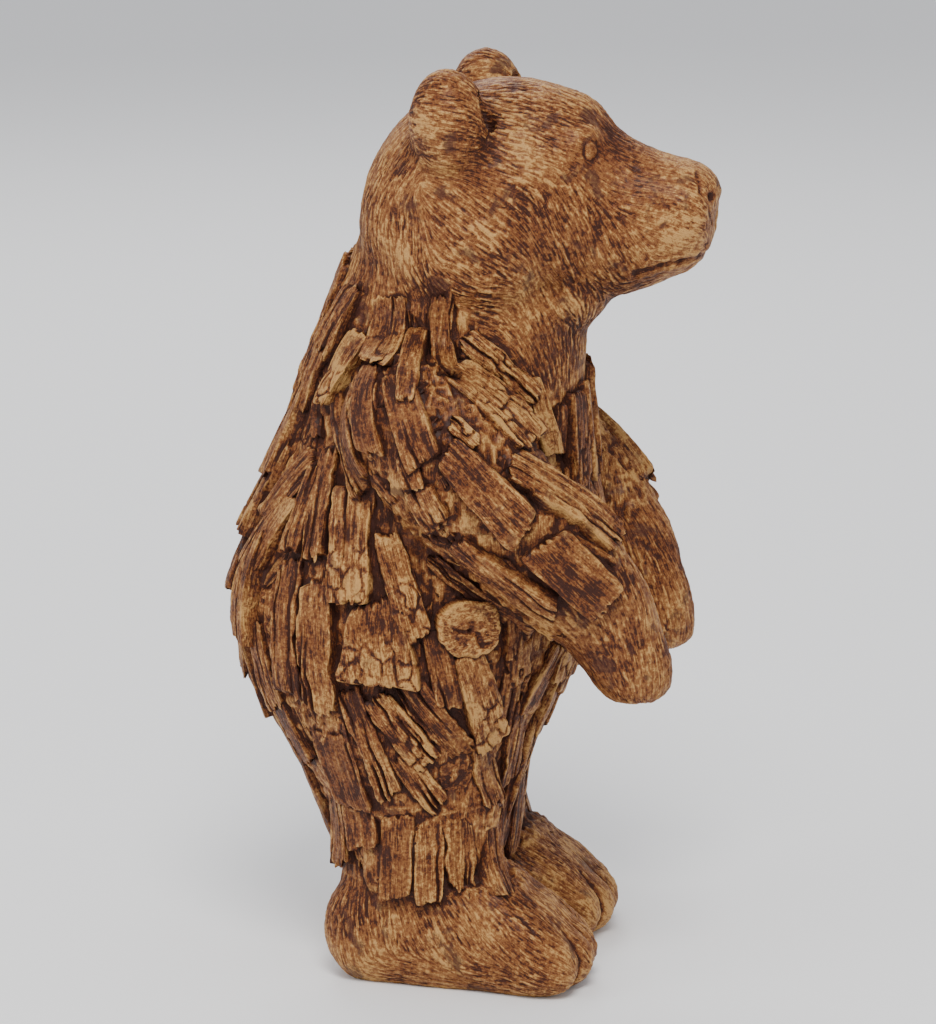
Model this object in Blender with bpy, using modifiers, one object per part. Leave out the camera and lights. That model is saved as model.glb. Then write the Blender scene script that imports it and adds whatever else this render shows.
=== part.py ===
"""A standing bear statue, cast in one piece: furred head, paws and feet, and a body clad in split wood chips.

The bear stands on the ground at z = 0 and faces -Y, with its right side at -X.
"""

import math
import random

import bmesh
import bpy
import numpy as np
from mathutils import Matrix, Vector
from mathutils.bvhtree import BVHTree

HEIGHT = 0.396              # ear tips above the ground
PARTS_OF_HEIGHT = 396       # every proportion below is counted in these parts of the height
UNIT = HEIGHT / PARTS_OF_HEIGHT

# Body rings: height, forward offset of the middle, half depth, half width
TORSO_RINGS = (
    (40, -18, 30, 46), (52, -20, 34, 53), (64, -21, 35, 57), (80, -23, 41, 61), (100, -26, 50, 66),
    (120, -28, 62, 70), (140, -27, 72, 72), (160, -25, 78, 72), (180, -22, 78, 70), (200, -19, 73, 67),
    (220, -17, 66, 63), (240, -13, 61, 58), (260, -10, 59, 53), (280, -7, 57, 47), (300, -3, 53, 43),
    (318, -4, 45, 38), (335, -4, 34, 30),
)
# Head rings: forward offset, top height, bottom height, half width
HEAD_RINGS = (
    (-45, 340, 312, 18), (-40, 354, 298, 31), (-30, 369, 290, 40), (-16, 380, 287, 45), (8, 387, 287, 46),
    (28, 387, 288, 43), (42, 384, 291, 38), (53, 379, 293, 33), (62, 368, 295, 29), (72, 362, 298, 26),
    (84, 358, 303, 24), (95, 355, 309, 22), (102, 352, 315, 18), (105, 346, 323, 13),
)
HEAD_TURN = 4               # degrees towards the bear's right
HEAD_PIVOT = -5             # forward offset of the neck's axis, about which the head is turned
# Rounded masses of one side of the head: sideways, forward, height, half sizes in the same order, nod in degrees
CHEEK = (29, 4, 318, 21, 36, 31, 0)
BROW = (18, 46, 360, 12, 16, 9, -30)
NOSE_PAD = (0, 101, 342, 11, 7, 9, 0)
CHIN = (0, 84, 314, 17, 15, 9, 0)
THROAT = (0, 42, 294, 26, 20, 14, -20)
EAR = (37, -1, 372, 17, 17, 24, -6)
EAR_HOLLOW = (37, 14, 373, 8.5, 7, 14, -6)
EYE = (361, 57.5, 4.4, 3.4)     # height, forward offset, half height, half length
MOUTH_AXIS = 66             # forward offset of the upright line about which the mouth runs
MOUTH_REACH = 68            # degrees from its middle to a corner
MOUTH_FRONT = 316           # height of the mouth's middle
MOUTH_DROP = 7              # its corners lie this much lower
MOUTH_WIDTH = 2.2           # height of the groove
MOUTH_DEPTH = 2
# One arm, shoulder to paw: sideways, forward, height, half width, half depth
ARM_RINGS = (
    (44, -28, 268, 16, 18), (54, -18, 254, 25, 29), (61, 0, 234, 25, 32), (62, 23, 212, 22, 30),
    (58, 45, 190, 20, 27), (52, 61, 172, 18, 24), (47, 70, 156, 17, 20), (45, 76, 143, 17, 18),
    (45, 79, 134, 14, 15), (45, 80, 129, 9, 10),
)
# One leg, hip to ankle: sideways, forward, height, half width, half depth
LEG_RINGS = (
    (33, -20, 110, 24, 32), (34, -18, 80, 25, 34), (35, -17, 50, 25, 34), (35, -16, 24, 26, 38),
)
# One foot, heel to toe: forward offset, top height, underside height, half width, sideways
FOOT_RINGS = (
    (-58, 30, 14, 12, 34), (-53, 38, 5, 20, 34), (-44, 46, -3, 25, 34), (-20, 51, -5, 27, 35),
    (6, 51, -5, 29, 36), (24, 46, -5, 31, 37), (36, 39, -5, 32, 38), (45, 32, -3, 30, 38), (51, 25, 2, 24, 38),
)
TOES = 4
TOE_RADIUS = 9.5
TOE_HEIGHT = 13
TOE_FORWARD = 50            # forward offset of the middle toes
TOE_SPREAD = 44             # from the outer toe to the inner one
TOE_BEND = 22               # how much the row of toes curves back at its ends
FOOT_SQUARENESS = 0.75

# Split wood chips that show on the right side: angle round from the front in degrees, height, length, width at
# the upper end, width at the lower end, lean of the lower end to the front in degrees, how far it stands proud
CHIP_AXIS = -15             # forward offset of the upright line that the angles are counted round
SHOULDER_CHIPS = (
    (107, 284, 28, 17, 19, 8, 1), (90, 276, 42, 9, 9, 3, 2), (79, 277, 38, 9, 10, -2, 2),
    (131, 267, 34, 14, 10, -20, 3), (158, 266, 40, 18, 18, -12, 1), (104, 258, 38, 11, 14, 22, 0),
    (89, 256, 40, 14, 18, 24, 1), (120, 238, 50, 6, 6, 35, 2), (113, 242, 38, 13, 15, 32, 0),
    (146, 286, 30, 14, 15, -16, 1),
)
ARM_CHIPS = (
    (61, 259, 44, 21, 25, 22, 1), (52, 270, 40, 11, 13, 44, 1), (35, 249, 34, 9, 10, 16, 1),
    (68, 227, 46, 16, 22, 44, 4), (47, 221, 56, 18, 18, 42, 1), (47, 191, 38, 24, 21, 46, 1),
    (62, 189, 50, 11, 13, 50, 2), (64, 176, 56, 8, 9, 50, 0), (73, 250, 14, 7, 7, 46, 1),
    (83, 219, 18, 15, 15, 27, 0), (88, 234, 14, 10, 10, 20, 0),
)
FLANK_CHIPS = (
    (126, 212, 47, 10, 12, 4, 1), (134, 208, 36, 9, 9, -4, 1), (112, 197, 48, 18, 20, 4, 2),
    (93, 181, 46, 12, 15, 17, 1), (149, 194, 42, 16, 18, -26, 1), (146, 214, 40, 12, 14, -34, 0),
    (154, 172, 48, 18, 20, 0, 3), (133, 158, 56, 13, 15, 2, 1), (121, 153, 55, 16, 17, 4, 2),
    (101, 157, 34, 21, 39, 6, 3), (65, 131, 48, 15, 18, 20, 4), (105, 112, 50, 10, 12, 18, 1),
    (93, 118, 37, 14, 16, 36, 1), (81, 123, 44, 15, 13, 38, 0), (88, 96, 31, 13, 11, 35, 1),
    (139, 113, 34, 16, 14, 20, 1), (117, 98, 36, 22, 20, 8, 0), (59, 95, 31, 15, 15, 18, 0),
    (145, 138, 36, 14, 16, 14, 0),
    (50, 152, 34, 14, 13, 6, 0), (79, 146, 34, 12, 12, 12, 0),
)
CUFF_CHIPS = (
    (97, 60, 36, 14, 13, 0, 1), (84, 59, 36, 12, 11, 0, 1), (72, 62, 30, 13, 12, 0, 1),
    (56, 60, 34, 15, 11, -22, 1), (113, 73, 20, 16, 15, 12, 1), (128, 66, 30, 15, 14, 6, 0),
)
# Chips on the trunk behind the paw
GROIN_CHIPS = ((40, 108, 46, 13, 14, 12, 1), (33, 134, 32, 14, 12, -22, 1), (52, 128, 34, 12, 12, 4, 0))
# Sawn knots: angle, height, diameter, how far they stand proud
KNOTS = ((70, 163, 26, 2), (74, 96, 17, 0))
# Courses of plainer chips on the spine and on the belly: height, first angle, last angle, how many
SPINE_COURSES = (
    (288, 160, 200, 2), (262, 168, 192, 2), (236, 160, 200, 4), (208, 162, 198, 3), (182, 164, 196, 3),
    (154, 162, 198, 4), (128, 158, 202, 4), (104, 154, 206, 4), (80, 146, 214, 5),
)
BELLY_COURSES = (
    (236, -20, 20, 3), (206, -24, 24, 4), (176, -26, 26, 4), (148, -24, 24, 4), (122, -20, 20, 3),
    (96, -24, 24, 3), (74, -34, 34, 4),
)
SHORTEST_MATCHED = 20       # shown chips shorter than this have no match on the left side
MATCH_PLAY = (2, 3, 5)      # how far a match may turn round the body, rise and lean otherwise
MATCH_LENGTHS = (0.88, 1.08)
SWAP_CHANCE = 0.4           # how often a match's end takes the width of the other end
COURSE_LENGTH = 42
COURSE_WIDTH = 20
COURSE_PLAY = (2, 5, 14)    # the same play for the chips in courses
COURSE_LENGTHS = (0.8, 1.25)
COURSE_UPPER_WIDTHS = (0.65, 1.15)
COURSE_LOWER_WIDTHS = (0.65, 1.2)
COURSE_PROUD = 2.5          # most that a chip of a course stands proud
CHIP_THICKNESS = 9          # from the buried face to the outer face
CHIP_RISE = 3.2             # of that, what stands out of the body
CHIP_LIFT = 1.2             # how much more the lower end stands out, and how much less the upper end
CHIP_TAPER = 0.86           # the outer face's width as a share of the chip's
CHIP_ROLL = 7               # most that a chip tips sideways, in degrees
CHIP_SKEW = 0.28            # how askew its ends are broken, as a share of half its width
CHIP_SEED = 11
# How far round, in degrees, and how far up the facing is sampled for a chip
SAMPLES = ((0, 0), (5, 0), (-5, 0), (0, 8), (0, -8))
CORE_VOXEL = 2.5
CORE_TRIANGLES = 2300
SOFTENING = 10              # smoothing passes over the merged masses
GROUND_DEPTH = 20           # thickness of the block that cuts the soles flat


def at(sideways, forward, height):
    """A point from its offsets in parts of the height."""
    return Vector((sideways, -forward, height)) * UNIT


def rounded(value, power):
    """A sine or cosine pushed towards a box's for a power under 1."""
    return math.copysign(abs(value) ** power, value)


def skin(loops, name):
    """A closed mesh over loops of points that have the same count, with flat ends."""
    build = bmesh.new()
    rows = [[build.verts.new(point) for point in loop] for loop in loops]
    for lower, upper in zip(rows, rows[1:]):
        for step in range(len(lower)):
            after = (step + 1) % len(lower)
            build.faces.new((lower[step], lower[after], upper[after], upper[step]))
    build.faces.new(rows[0])
    build.faces.new(rows[-1])
    bmesh.ops.recalc_face_normals(build, faces=build.faces)
    mesh = bpy.data.meshes.new(name)
    build.to_mesh(mesh)
    build.free()
    return mesh


def loft(rings, name, power=1.0, around=28):
    """A skin over rings, each a middle point with two half axes; a power under 1 squares them."""
    loops = []
    for middle, across, along in rings:
        loop = []
        for step in range(around):
            turn = math.tau * step / around
            side, rise = rounded(math.cos(turn), power), rounded(math.sin(turn), power)
            loop.append(middle + across * side + along * rise)
        loops.append(loop)
    return skin(loops, name)


def refined(rows, steps=4):
    """Rows of numbers with smooth in-between rows, so that a loft has no corners from ring to ring."""
    rows = [np.array(row, float) for row in rows]
    padded = [2 * rows[0] - rows[1], *rows, 2 * rows[-1] - rows[-2]]
    fine = []
    for before, start, end, after in zip(padded, padded[1:], padded[2:], padded[3:]):
        for step in range(steps):
            t = step / steps
            curve = 2 * start + (end - before) * t
            curve += (2 * before - 5 * start + 4 * end - after) * t * t
            curve += (3 * start - before - 3 * end + after) * t * t * t
            fine.append(curve / 2)
    return [*fine, rows[-1]]


def torso():
    rings = [
        (at(0, forward, height), at(half_width, 0, 0), at(0, half_depth, 0))
        for height, forward, half_depth, half_width in refined(TORSO_RINGS)
    ]
    return loft(rings, "torso")


def ball(numbers, side, name):
    """A rounded mass: an ellipsoid from its middle, half sizes and nod."""
    sideways, forward, height, half_width, half_length, half_height, nod = numbers
    build = bmesh.new()
    bmesh.ops.create_uvsphere(build, u_segments=24, v_segments=14, radius=UNIT)
    place = Matrix.Translation(at(side * sideways, forward, height))
    turn = Matrix.Rotation(math.radians(nod), 4, "X")
    size = Matrix.Diagonal((half_width, half_length, half_height, 1))
    bmesh.ops.transform(build, matrix=place @ turn @ size, verts=build.verts)
    mesh = bpy.data.meshes.new(name)
    build.to_mesh(mesh)
    build.free()
    return mesh


def head():
    rings = [
        (at(0, forward, (top + bottom) / 2), at(half_width, 0, 0), at(0, 0, (top - bottom) / 2))
        for forward, top, bottom, half_width in refined(HEAD_RINGS)
    ]
    return loft(rings, "head")


def limb(rings, side, name):
    """An arm or a leg: rings square to the line through their middles."""
    rings = refined(rings)
    middles = [at(side * sideways, forward, height) for sideways, forward, height, _, _ in rings]
    sections = []
    for index, (_, _, _, half_width, half_depth) in enumerate(rings):
        run = middles[min(index + 1, len(rings) - 1)] - middles[max(index - 1, 0)]
        along = Vector((1, 0, 0)).cross(run).normalized()
        across = run.cross(along).normalized()
        sections.append((middles[index], across * half_width * UNIT, along * half_depth * UNIT))
    return loft(sections, name)


def foot(side):
    rings = [
        (at(side * sideways, forward, (top + under) / 2), at(half_width, 0, 0), at(0, 0, (top - under) / 2))
        for forward, top, under, half_width, sideways in refined(FOOT_RINGS)
    ]
    return loft(rings, "foot", power=FOOT_SQUARENESS)


def toe(side, index):
    """One toe of a foot; they fan out from its inner to its outer edge."""
    share = index / (TOES - 1) - 0.5
    sideways = FOOT_RINGS[-1][4] + share * TOE_SPREAD
    forward = TOE_FORWARD - TOE_BEND * share * share
    return ball((sideways, forward, TOE_HEIGHT, TOE_RADIUS, TOE_RADIUS + 2, TOE_HEIGHT, 0), side, "toe")


def turned(forms):
    """The head's masses, turned together about the neck."""
    pivot = Matrix.Translation(at(0, HEAD_PIVOT, 0))
    turn = pivot @ Matrix.Rotation(math.radians(-HEAD_TURN), 4, "Z") @ pivot.inverted()
    for form in forms:
        form.transform(turn)
    return forms


def head_forms():
    forms = [head(), ball(NOSE_PAD, 1, "nose"), ball(CHIN, 1, "chin"), ball(THROAT, 1, "throat")]
    for side in (-1, 1):
        forms += [ball(CHEEK, side, "cheek"), ball(BROW, side, "brow"), ball(EAR, side, "ear")]
    return turned(forms)


def joined(meshes, name):
    """One object that holds all these meshes."""
    build = bmesh.new()
    for mesh in meshes:
        build.from_mesh(mesh)
    whole = bpy.data.meshes.new(name)
    build.to_mesh(whole)
    build.free()
    return bpy.data.objects.new(name, whole)


def core_object(group, hollows):
    """The bear without its chips: all masses merged and softened, with hollow ears."""
    forms = [torso(), *head_forms()]
    for side in (-1, 1):
        forms += [limb(ARM_RINGS, side, "arm"), limb(LEG_RINGS, side, "leg"), foot(side)]
        forms += [toe(side, index) for index in range(TOES)]
    bear = joined(forms, "bear_statue")
    group.objects.link(bear)
    merge = bear.modifiers.new("merge", "REMESH")
    merge.mode = "VOXEL"
    merge.voxel_size = CORE_VOXEL * UNIT
    for mesh in turned([ball(EAR_HOLLOW, side, "ear hollow") for side in (-1, 1)]):
        helper(mesh, hollows)
    combine(bear, hollows, "DIFFERENCE")
    soften = bear.modifiers.new("soften", "SMOOTH")
    soften.iterations = SOFTENING
    return bear


def surface_of(bear):
    """A search tree of the object's surface as its modifiers leave it."""
    bpy.context.view_layer.update()
    return BVHTree.FromObject(bear, bpy.context.evaluated_depsgraph_get())


def torso_surface():
    """A search tree of the trunk alone, for what lies behind the arms."""
    build = bmesh.new()
    build.from_mesh(torso())
    tree = BVHTree.FromBMesh(build)
    build.free()
    return tree


def touch(surface, angle, height, axis=CHIP_AXIS):
    """Where a level line towards an upright axis meets the surface, and the facing there."""
    turn = math.radians(angle)
    outward = Vector((-math.sin(turn), -math.cos(turn), 0))
    point, normal, _, _ = surface.ray_cast(at(0, axis, height) + outward * HEIGHT, -outward)
    return point, normal


def chip_rest(surface, angle, height, lean):
    """How a chip lies on the surface: its middle, and the directions along it and out of it."""
    middle, _ = touch(surface, angle, height)
    facing = Vector()
    for turn, rise in SAMPLES:
        facing += touch(surface, angle + turn, height + rise)[1]
    facing.normalize()
    down = Vector((0, 0, -1))
    down = (down - facing * down.dot(facing)).normalized()
    lean = math.radians(lean)
    return middle, down * math.cos(lean) + facing.cross(down) * math.sin(lean), facing


def settled(surface, point, facing):
    """The surface under or over a point near it."""
    reach = 2 * CHIP_THICKNESS * UNIT
    found, _, _, _ = surface.ray_cast(point + facing * reach, -facing, 2 * reach)
    return found or point


def chip_mesh(surface, numbers, stations, draw):
    """A split chip: a slab that narrows outwards, laid over the surface, with ends broken askew."""
    angle, height, length, upper_width, lower_width, lean, proud = numbers
    middle, along, facing = chip_rest(surface, angle, height, lean)
    roll = math.radians(draw.uniform(-CHIP_ROLL, CHIP_ROLL))
    tip = Matrix.Rotation(roll, 3, along)
    facing = tip @ facing
    across = facing.cross(along)
    skew = {0: draw.uniform(-CHIP_SKEW, CHIP_SKEW), 1: draw.uniform(-CHIP_SKEW, CHIP_SKEW)}
    loops = []
    for station in range(stations):
        share = station / (stations - 1)
        half = (upper_width + (lower_width - upper_width) * share) / 2 * UNIT
        base = settled(surface, middle + along * (share - 0.5) * length * UNIT, facing)
        outer = (CHIP_RISE + CHIP_LIFT * (2 * share - 1) + proud * (1 + share) / 2) * UNIT
        inner = outer - (CHIP_THICKNESS + proud) * UNIT
        edge = (across + along * skew.get(share, 0)) * half
        loops.append([
            base + facing * inner - edge,
            base + facing * inner + edge,
            base + facing * outer + edge * CHIP_TAPER,
            base + facing * outer - edge * CHIP_TAPER,
        ])
    return skin(loops, "chip")


def knot_mesh(surface, numbers):
    """The sawn end of a branch: a short round block."""
    angle, height, diameter, proud = numbers
    middle, along, facing = chip_rest(surface, angle, height, 0)
    across = facing.cross(along)
    outer = (CHIP_RISE + proud) * UNIT
    radius = diameter / 2 * UNIT
    ends = [
        (middle + facing * rise, across * radius, along * radius)
        for rise in (outer - CHIP_THICKNESS * UNIT, outer)
    ]
    return loft(ends, "knot", around=14)


def mouth_groove(surface):
    """The line of the closed mouth, from one corner round the muzzle to the other."""
    rings = []
    for turn in np.linspace(-MOUTH_REACH, MOUTH_REACH, 15):
        height = MOUTH_FRONT - MOUTH_DROP * (turn / MOUTH_REACH) ** 2
        point, _ = touch(surface, turn + HEAD_TURN, height, MOUTH_AXIS)
        outward = (point - at(0, MOUTH_AXIS, height)).normalized()
        rings.append((point, outward * MOUTH_DEPTH * UNIT, Vector((0, 0, MOUTH_WIDTH / 2 * UNIT))))
    return loft(rings, "mouth", around=6)


def eye(surface, side):
    """A low almond that stands out of the head."""
    height, forward, half_height, half_length = EYE
    start = at(side * HEIGHT / UNIT, forward, height)
    point, facing, _, _ = surface.ray_cast(start, Vector((-side, 0, 0)))
    build = bmesh.new()
    bmesh.ops.create_uvsphere(build, u_segments=12, v_segments=6, radius=UNIT)
    frame = facing.to_track_quat("X", "Z").to_matrix().to_4x4()
    size = Matrix.Diagonal((2, half_length, half_height, 1))
    bmesh.ops.transform(build, matrix=Matrix.Translation(point) @ frame @ size, verts=build.verts)
    mesh = bpy.data.meshes.new("eye")
    build.to_mesh(mesh)
    build.free()
    return mesh


def shown_chips():
    return [*SHOULDER_CHIPS, *ARM_CHIPS, *FLANK_CHIPS, *CUFF_CHIPS]


def turned_over(numbers, draw):
    """A chip's numbers on the other side of the body, with some play."""
    angle, height, length, upper, lower, lean, proud = numbers
    turn, rise, tilt = MATCH_PLAY
    return (
        draw.uniform(-turn, turn) - angle, height + draw.uniform(-rise, rise),
        length * draw.uniform(*MATCH_LENGTHS),
        lower if draw.random() < SWAP_CHANCE else upper, upper if draw.random() < SWAP_CHANCE else lower,
        draw.uniform(-tilt, tilt) - lean, proud / 2,
    )


def course_chips(courses, draw):
    """The numbers of chips set side by side round the body."""
    turn, rise, tilt = COURSE_PLAY
    chips = []
    for height, first, last, count in courses:
        for index in range(count):
            angle = first + (last - first) * (index + 0.5) / count
            chips.append((
                angle + draw.uniform(-turn, turn), height + draw.uniform(-rise, rise),
                COURSE_LENGTH * draw.uniform(*COURSE_LENGTHS),
                COURSE_WIDTH * draw.uniform(*COURSE_UPPER_WIDTHS),
                COURSE_WIDTH * draw.uniform(*COURSE_LOWER_WIDTHS),
                draw.uniform(-tilt, tilt), draw.uniform(0, COURSE_PROUD),
            ))
    return chips


def cladding(surface):
    """Every chip and knot as a mesh of its own."""
    draw = random.Random(CHIP_SEED)
    trunk = torso_surface()
    blocks = [chip_mesh(surface, numbers, 3, draw) for numbers in shown_chips()]
    for numbers in shown_chips():
        if numbers[2] > SHORTEST_MATCHED:
            blocks.append(chip_mesh(surface, turned_over(numbers, draw), 3, draw))
    blocks += [chip_mesh(surface, numbers, 2, draw) for numbers in course_chips(SPINE_COURSES, draw)]
    blocks += [chip_mesh(trunk, numbers, 2, draw) for numbers in course_chips(BELLY_COURSES, draw)]
    for numbers in GROIN_CHIPS:
        blocks.append(chip_mesh(trunk, numbers, 2, draw))
        blocks.append(chip_mesh(trunk, turned_over(numbers, draw), 2, draw))
    for angle, height, diameter, proud in KNOTS:
        for side in (1, -1):
            blocks.append(knot_mesh(surface, (side * angle, height, diameter, proud)))
    return blocks


def helper(mesh, group):
    """A hidden object that a Boolean adds or takes away."""
    piece = bpy.data.objects.new(mesh.name, mesh)
    piece.hide_render = True
    piece.display_type = "WIRE"
    group.objects.link(piece)


def combine(bear, group, operation):
    change = bear.modifiers.new(group.name, "BOOLEAN")
    change.operand_type = "COLLECTION"
    change.collection = group
    change.operation = operation


def ground_block():
    """What lies under the ground, to cut the soles flat."""
    build = bmesh.new()
    bmesh.ops.create_cube(build, size=1)
    size = Matrix.Diagonal((HEIGHT, HEIGHT, GROUND_DEPTH * UNIT, 1))
    place = Matrix.Translation(at(0, 0, -GROUND_DEPTH / 2))
    bmesh.ops.transform(build, matrix=place @ size, verts=build.verts)
    mesh = bpy.data.meshes.new("ground")
    build.to_mesh(mesh)
    build.free()
    return mesh


def resin():
    """Cast resin with a brown wood finish."""
    material = bpy.data.materials.new("painted resin")
    material.use_nodes = True
    shader = material.node_tree.nodes["Principled BSDF"]
    shader.inputs["Base Color"].default_value = (0.28, 0.18, 0.11, 1)
    shader.inputs["Roughness"].default_value = 0.6
    shader.inputs["Metallic"].default_value = 0
    return material


def new_group(name):
    group = bpy.data.collections.new(name)
    bpy.context.scene.collection.children.link(group)
    return group


def main():
    for leftover in list(bpy.data.objects):
        bpy.data.objects.remove(leftover)
    statue = new_group("bear statue")
    hollows = new_group("ear hollows")
    added = new_group("chips and eyes")
    cutters = new_group("mouth and ground")

    bear = core_object(statue, hollows)
    surface = surface_of(bear)
    thin = bear.modifiers.new("thin", "DECIMATE")
    shape = bear.evaluated_get(bpy.context.evaluated_depsgraph_get()).data
    shape.calc_loop_triangles()
    thin.ratio = CORE_TRIANGLES / len(shape.loop_triangles)
    for mesh in (*cladding(surface), eye(surface, -1), eye(surface, 1)):
        helper(mesh, added)
    for mesh in (mouth_groove(surface), ground_block()):
        helper(mesh, cutters)
    combine(bear, added, "UNION")
    combine(bear, cutters, "DIFFERENCE")
    bear.data.materials.append(resin())


if __name__ == "__main__":
    main()
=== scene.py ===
"""The finish of a cast resin bear: carved fur, a body clad in split driftwood chips, and coats of paint."""

import functools
import itertools
import math
import random
from collections import namedtuple

import bmesh
import bpy
import numpy as np
from mathutils import Matrix, Vector
from mathutils.bvhtree import BVHTree
from mathutils.kdtree import KDTree


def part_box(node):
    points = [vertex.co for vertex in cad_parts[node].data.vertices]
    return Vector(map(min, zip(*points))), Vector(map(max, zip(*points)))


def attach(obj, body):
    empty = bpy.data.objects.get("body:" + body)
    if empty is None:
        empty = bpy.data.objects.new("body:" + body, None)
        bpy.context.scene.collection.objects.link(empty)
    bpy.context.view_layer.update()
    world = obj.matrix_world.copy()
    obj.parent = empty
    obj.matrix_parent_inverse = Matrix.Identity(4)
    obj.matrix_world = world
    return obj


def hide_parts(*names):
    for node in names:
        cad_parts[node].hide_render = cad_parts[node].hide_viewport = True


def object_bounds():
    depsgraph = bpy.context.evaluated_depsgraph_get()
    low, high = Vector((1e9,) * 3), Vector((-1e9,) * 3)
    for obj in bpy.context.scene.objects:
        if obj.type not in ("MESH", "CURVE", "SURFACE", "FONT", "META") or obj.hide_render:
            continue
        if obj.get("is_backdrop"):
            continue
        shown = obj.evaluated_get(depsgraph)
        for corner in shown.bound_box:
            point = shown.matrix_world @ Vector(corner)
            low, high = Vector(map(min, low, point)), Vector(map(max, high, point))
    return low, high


bl_info = {
    "name": "Driftwood bear statue",
    "version": (1, 0, 0),
    "blender": (4, 5, 0),
    "location": "View3D > Sidebar > Bear",
    "description": "Gives a standing bear's packed solid its carved fur, driftwood chips and paint",
    "category": "Add Mesh",
}

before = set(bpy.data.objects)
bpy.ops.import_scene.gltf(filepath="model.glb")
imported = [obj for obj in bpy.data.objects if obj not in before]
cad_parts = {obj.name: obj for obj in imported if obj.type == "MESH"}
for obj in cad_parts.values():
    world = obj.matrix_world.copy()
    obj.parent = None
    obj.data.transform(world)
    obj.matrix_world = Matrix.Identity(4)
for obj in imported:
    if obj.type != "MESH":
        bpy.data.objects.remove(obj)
CAD_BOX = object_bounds()
LOW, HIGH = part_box("bear_statue")
HEIGHT = HIGH.z - LOW.z
PARTS_OF_HEIGHT = 396       # every proportion below is counted in these parts of the height
UNIT = HEIGHT / PARTS_OF_HEIGHT

# Body rings: height, forward offset of the middle, half depth, half width
TORSO_RINGS = (
    (40, -18, 30, 46), (52, -20, 34, 53), (64, -21, 35, 57), (80, -23, 41, 61), (100, -26, 50, 66),
    (120, -28, 62, 70), (140, -27, 72, 72), (160, -25, 78, 72), (180, -22, 78, 70), (200, -19, 73, 67),
    (220, -17, 66, 63), (240, -13, 61, 58), (260, -10, 59, 53), (280, -7, 57, 47), (300, -3, 53, 43),
    (318, -4, 45, 38), (335, -4, 34, 30),
)
# Head rings: forward offset, top height, bottom height, half width
HEAD_RINGS = (
    (-45, 340, 312, 18), (-40, 354, 298, 31), (-30, 369, 290, 40), (-16, 380, 287, 45), (8, 387, 287, 46),
    (28, 387, 288, 43), (42, 384, 291, 38), (53, 379, 293, 33), (62, 368, 295, 29), (72, 362, 298, 26),
    (84, 358, 303, 24), (95, 355, 309, 22), (102, 352, 315, 18), (105, 346, 323, 13),
)
HEAD_TURN = 4               # degrees towards the bear's right
HEAD_PIVOT = -5             # forward offset of the neck's axis, about which the head is turned
# Rounded masses of one side of the head: sideways, forward, height, half sizes the same way round,
# nod in degrees
CHEEK = (29, 4, 318, 21, 36, 31, 0)
BROW = (18, 46, 360, 12, 16, 9, -30)
NOSE_PAD = (0, 101, 342, 11, 7, 9, 0)
CHIN = (0, 84, 314, 17, 15, 9, 0)
THROAT = (0, 42, 294, 26, 20, 14, -20)
EAR = (37, -1, 372, 17, 17, 24, -6)
EAR_HOLLOW = (34.5, 13.5, 377, 7, 5.5, 10, -6)   # a little tighter than the plain solid's
EYE = (361, 57.5)           # height, forward offset
# One arm, shoulder to paw: sideways, forward, height, half width, half depth
ARM_RINGS = (
    (44, -28, 268, 16, 18), (54, -18, 254, 25, 29), (61, 0, 234, 25, 32), (62, 23, 212, 22, 30),
    (58, 45, 190, 20, 27), (52, 61, 172, 18, 24), (47, 70, 156, 17, 20), (45, 76, 143, 17, 18),
    (45, 79, 134, 14, 15), (45, 80, 129, 9, 10),
)
# One leg, hip to ankle: sideways, forward, height, half width, half depth
LEG_RINGS = (
    (33, -20, 110, 24, 32), (34, -18, 80, 25, 34), (35, -17, 50, 25, 34), (35, -16, 24, 26, 38),
)
# One foot, heel to toe: forward offset, top height, underside height, half width, sideways
FOOT_RINGS = (
    (-58, 30, 14, 12, 34), (-53, 38, 5, 20, 34), (-44, 46, -3, 25, 34), (-20, 51, -5, 27, 35),
    (6, 51, -5, 29, 36), (24, 46, -5, 31, 37), (36, 39, -5, 32, 38), (45, 32, -3, 30, 38),
    (51, 25, 2, 24, 38),
)
TOES = 4
TOE_RADIUS = 9.5
TOE_HEIGHT = 13
TOE_FORWARD = 50            # forward offset of the middle toes
TOE_SPREAD = 44             # from the outer toe to the inner one
TOE_BEND = 22               # how much the row of toes curves back at its ends
FOOT_SQUARENESS = 0.75
CORE_VOXEL = 2.5
SOFTENING = 10              # smoothing passes over the merged masses

# Split wood chips of the right side: angle round from the front in degrees, height, length, width at the
# upper end, width at the lower end, lean of the lower end towards the front in degrees, how far it stands
# proud, tone from -1 dark to 1 pale, and its look: plank, split, checked or wormy
CHIP_AXIS = -15             # forward offset of the upright line that the angles are counted round
SHOULDER_CHIPS = (
    (107, 284, 28, 17, 19, 8, 1, 0.3, "checked"), (90, 276, 42, 9, 9, 3, 2, 0.3, "plank"),
    (79, 277, 38, 9, 10, -2, 2, 0.2, "split"), (131, 267, 34, 14, 10, -20, 3, 0.8, "checked"),
    (158, 266, 40, 18, 18, -12, 1, 0, "split"), (104, 258, 38, 11, 14, 22, 0, -0.5, "plank"),
    (89, 256, 40, 14, 18, 24, 1, -0.4, "plank"), (120, 238, 50, 6, 6, 35, 2, -0.1, "split"),
    (113, 242, 38, 13, 15, 32, 0, -0.3, "plank"), (146, 286, 30, 14, 15, -16, 1, -0.2, "split"),
)
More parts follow.
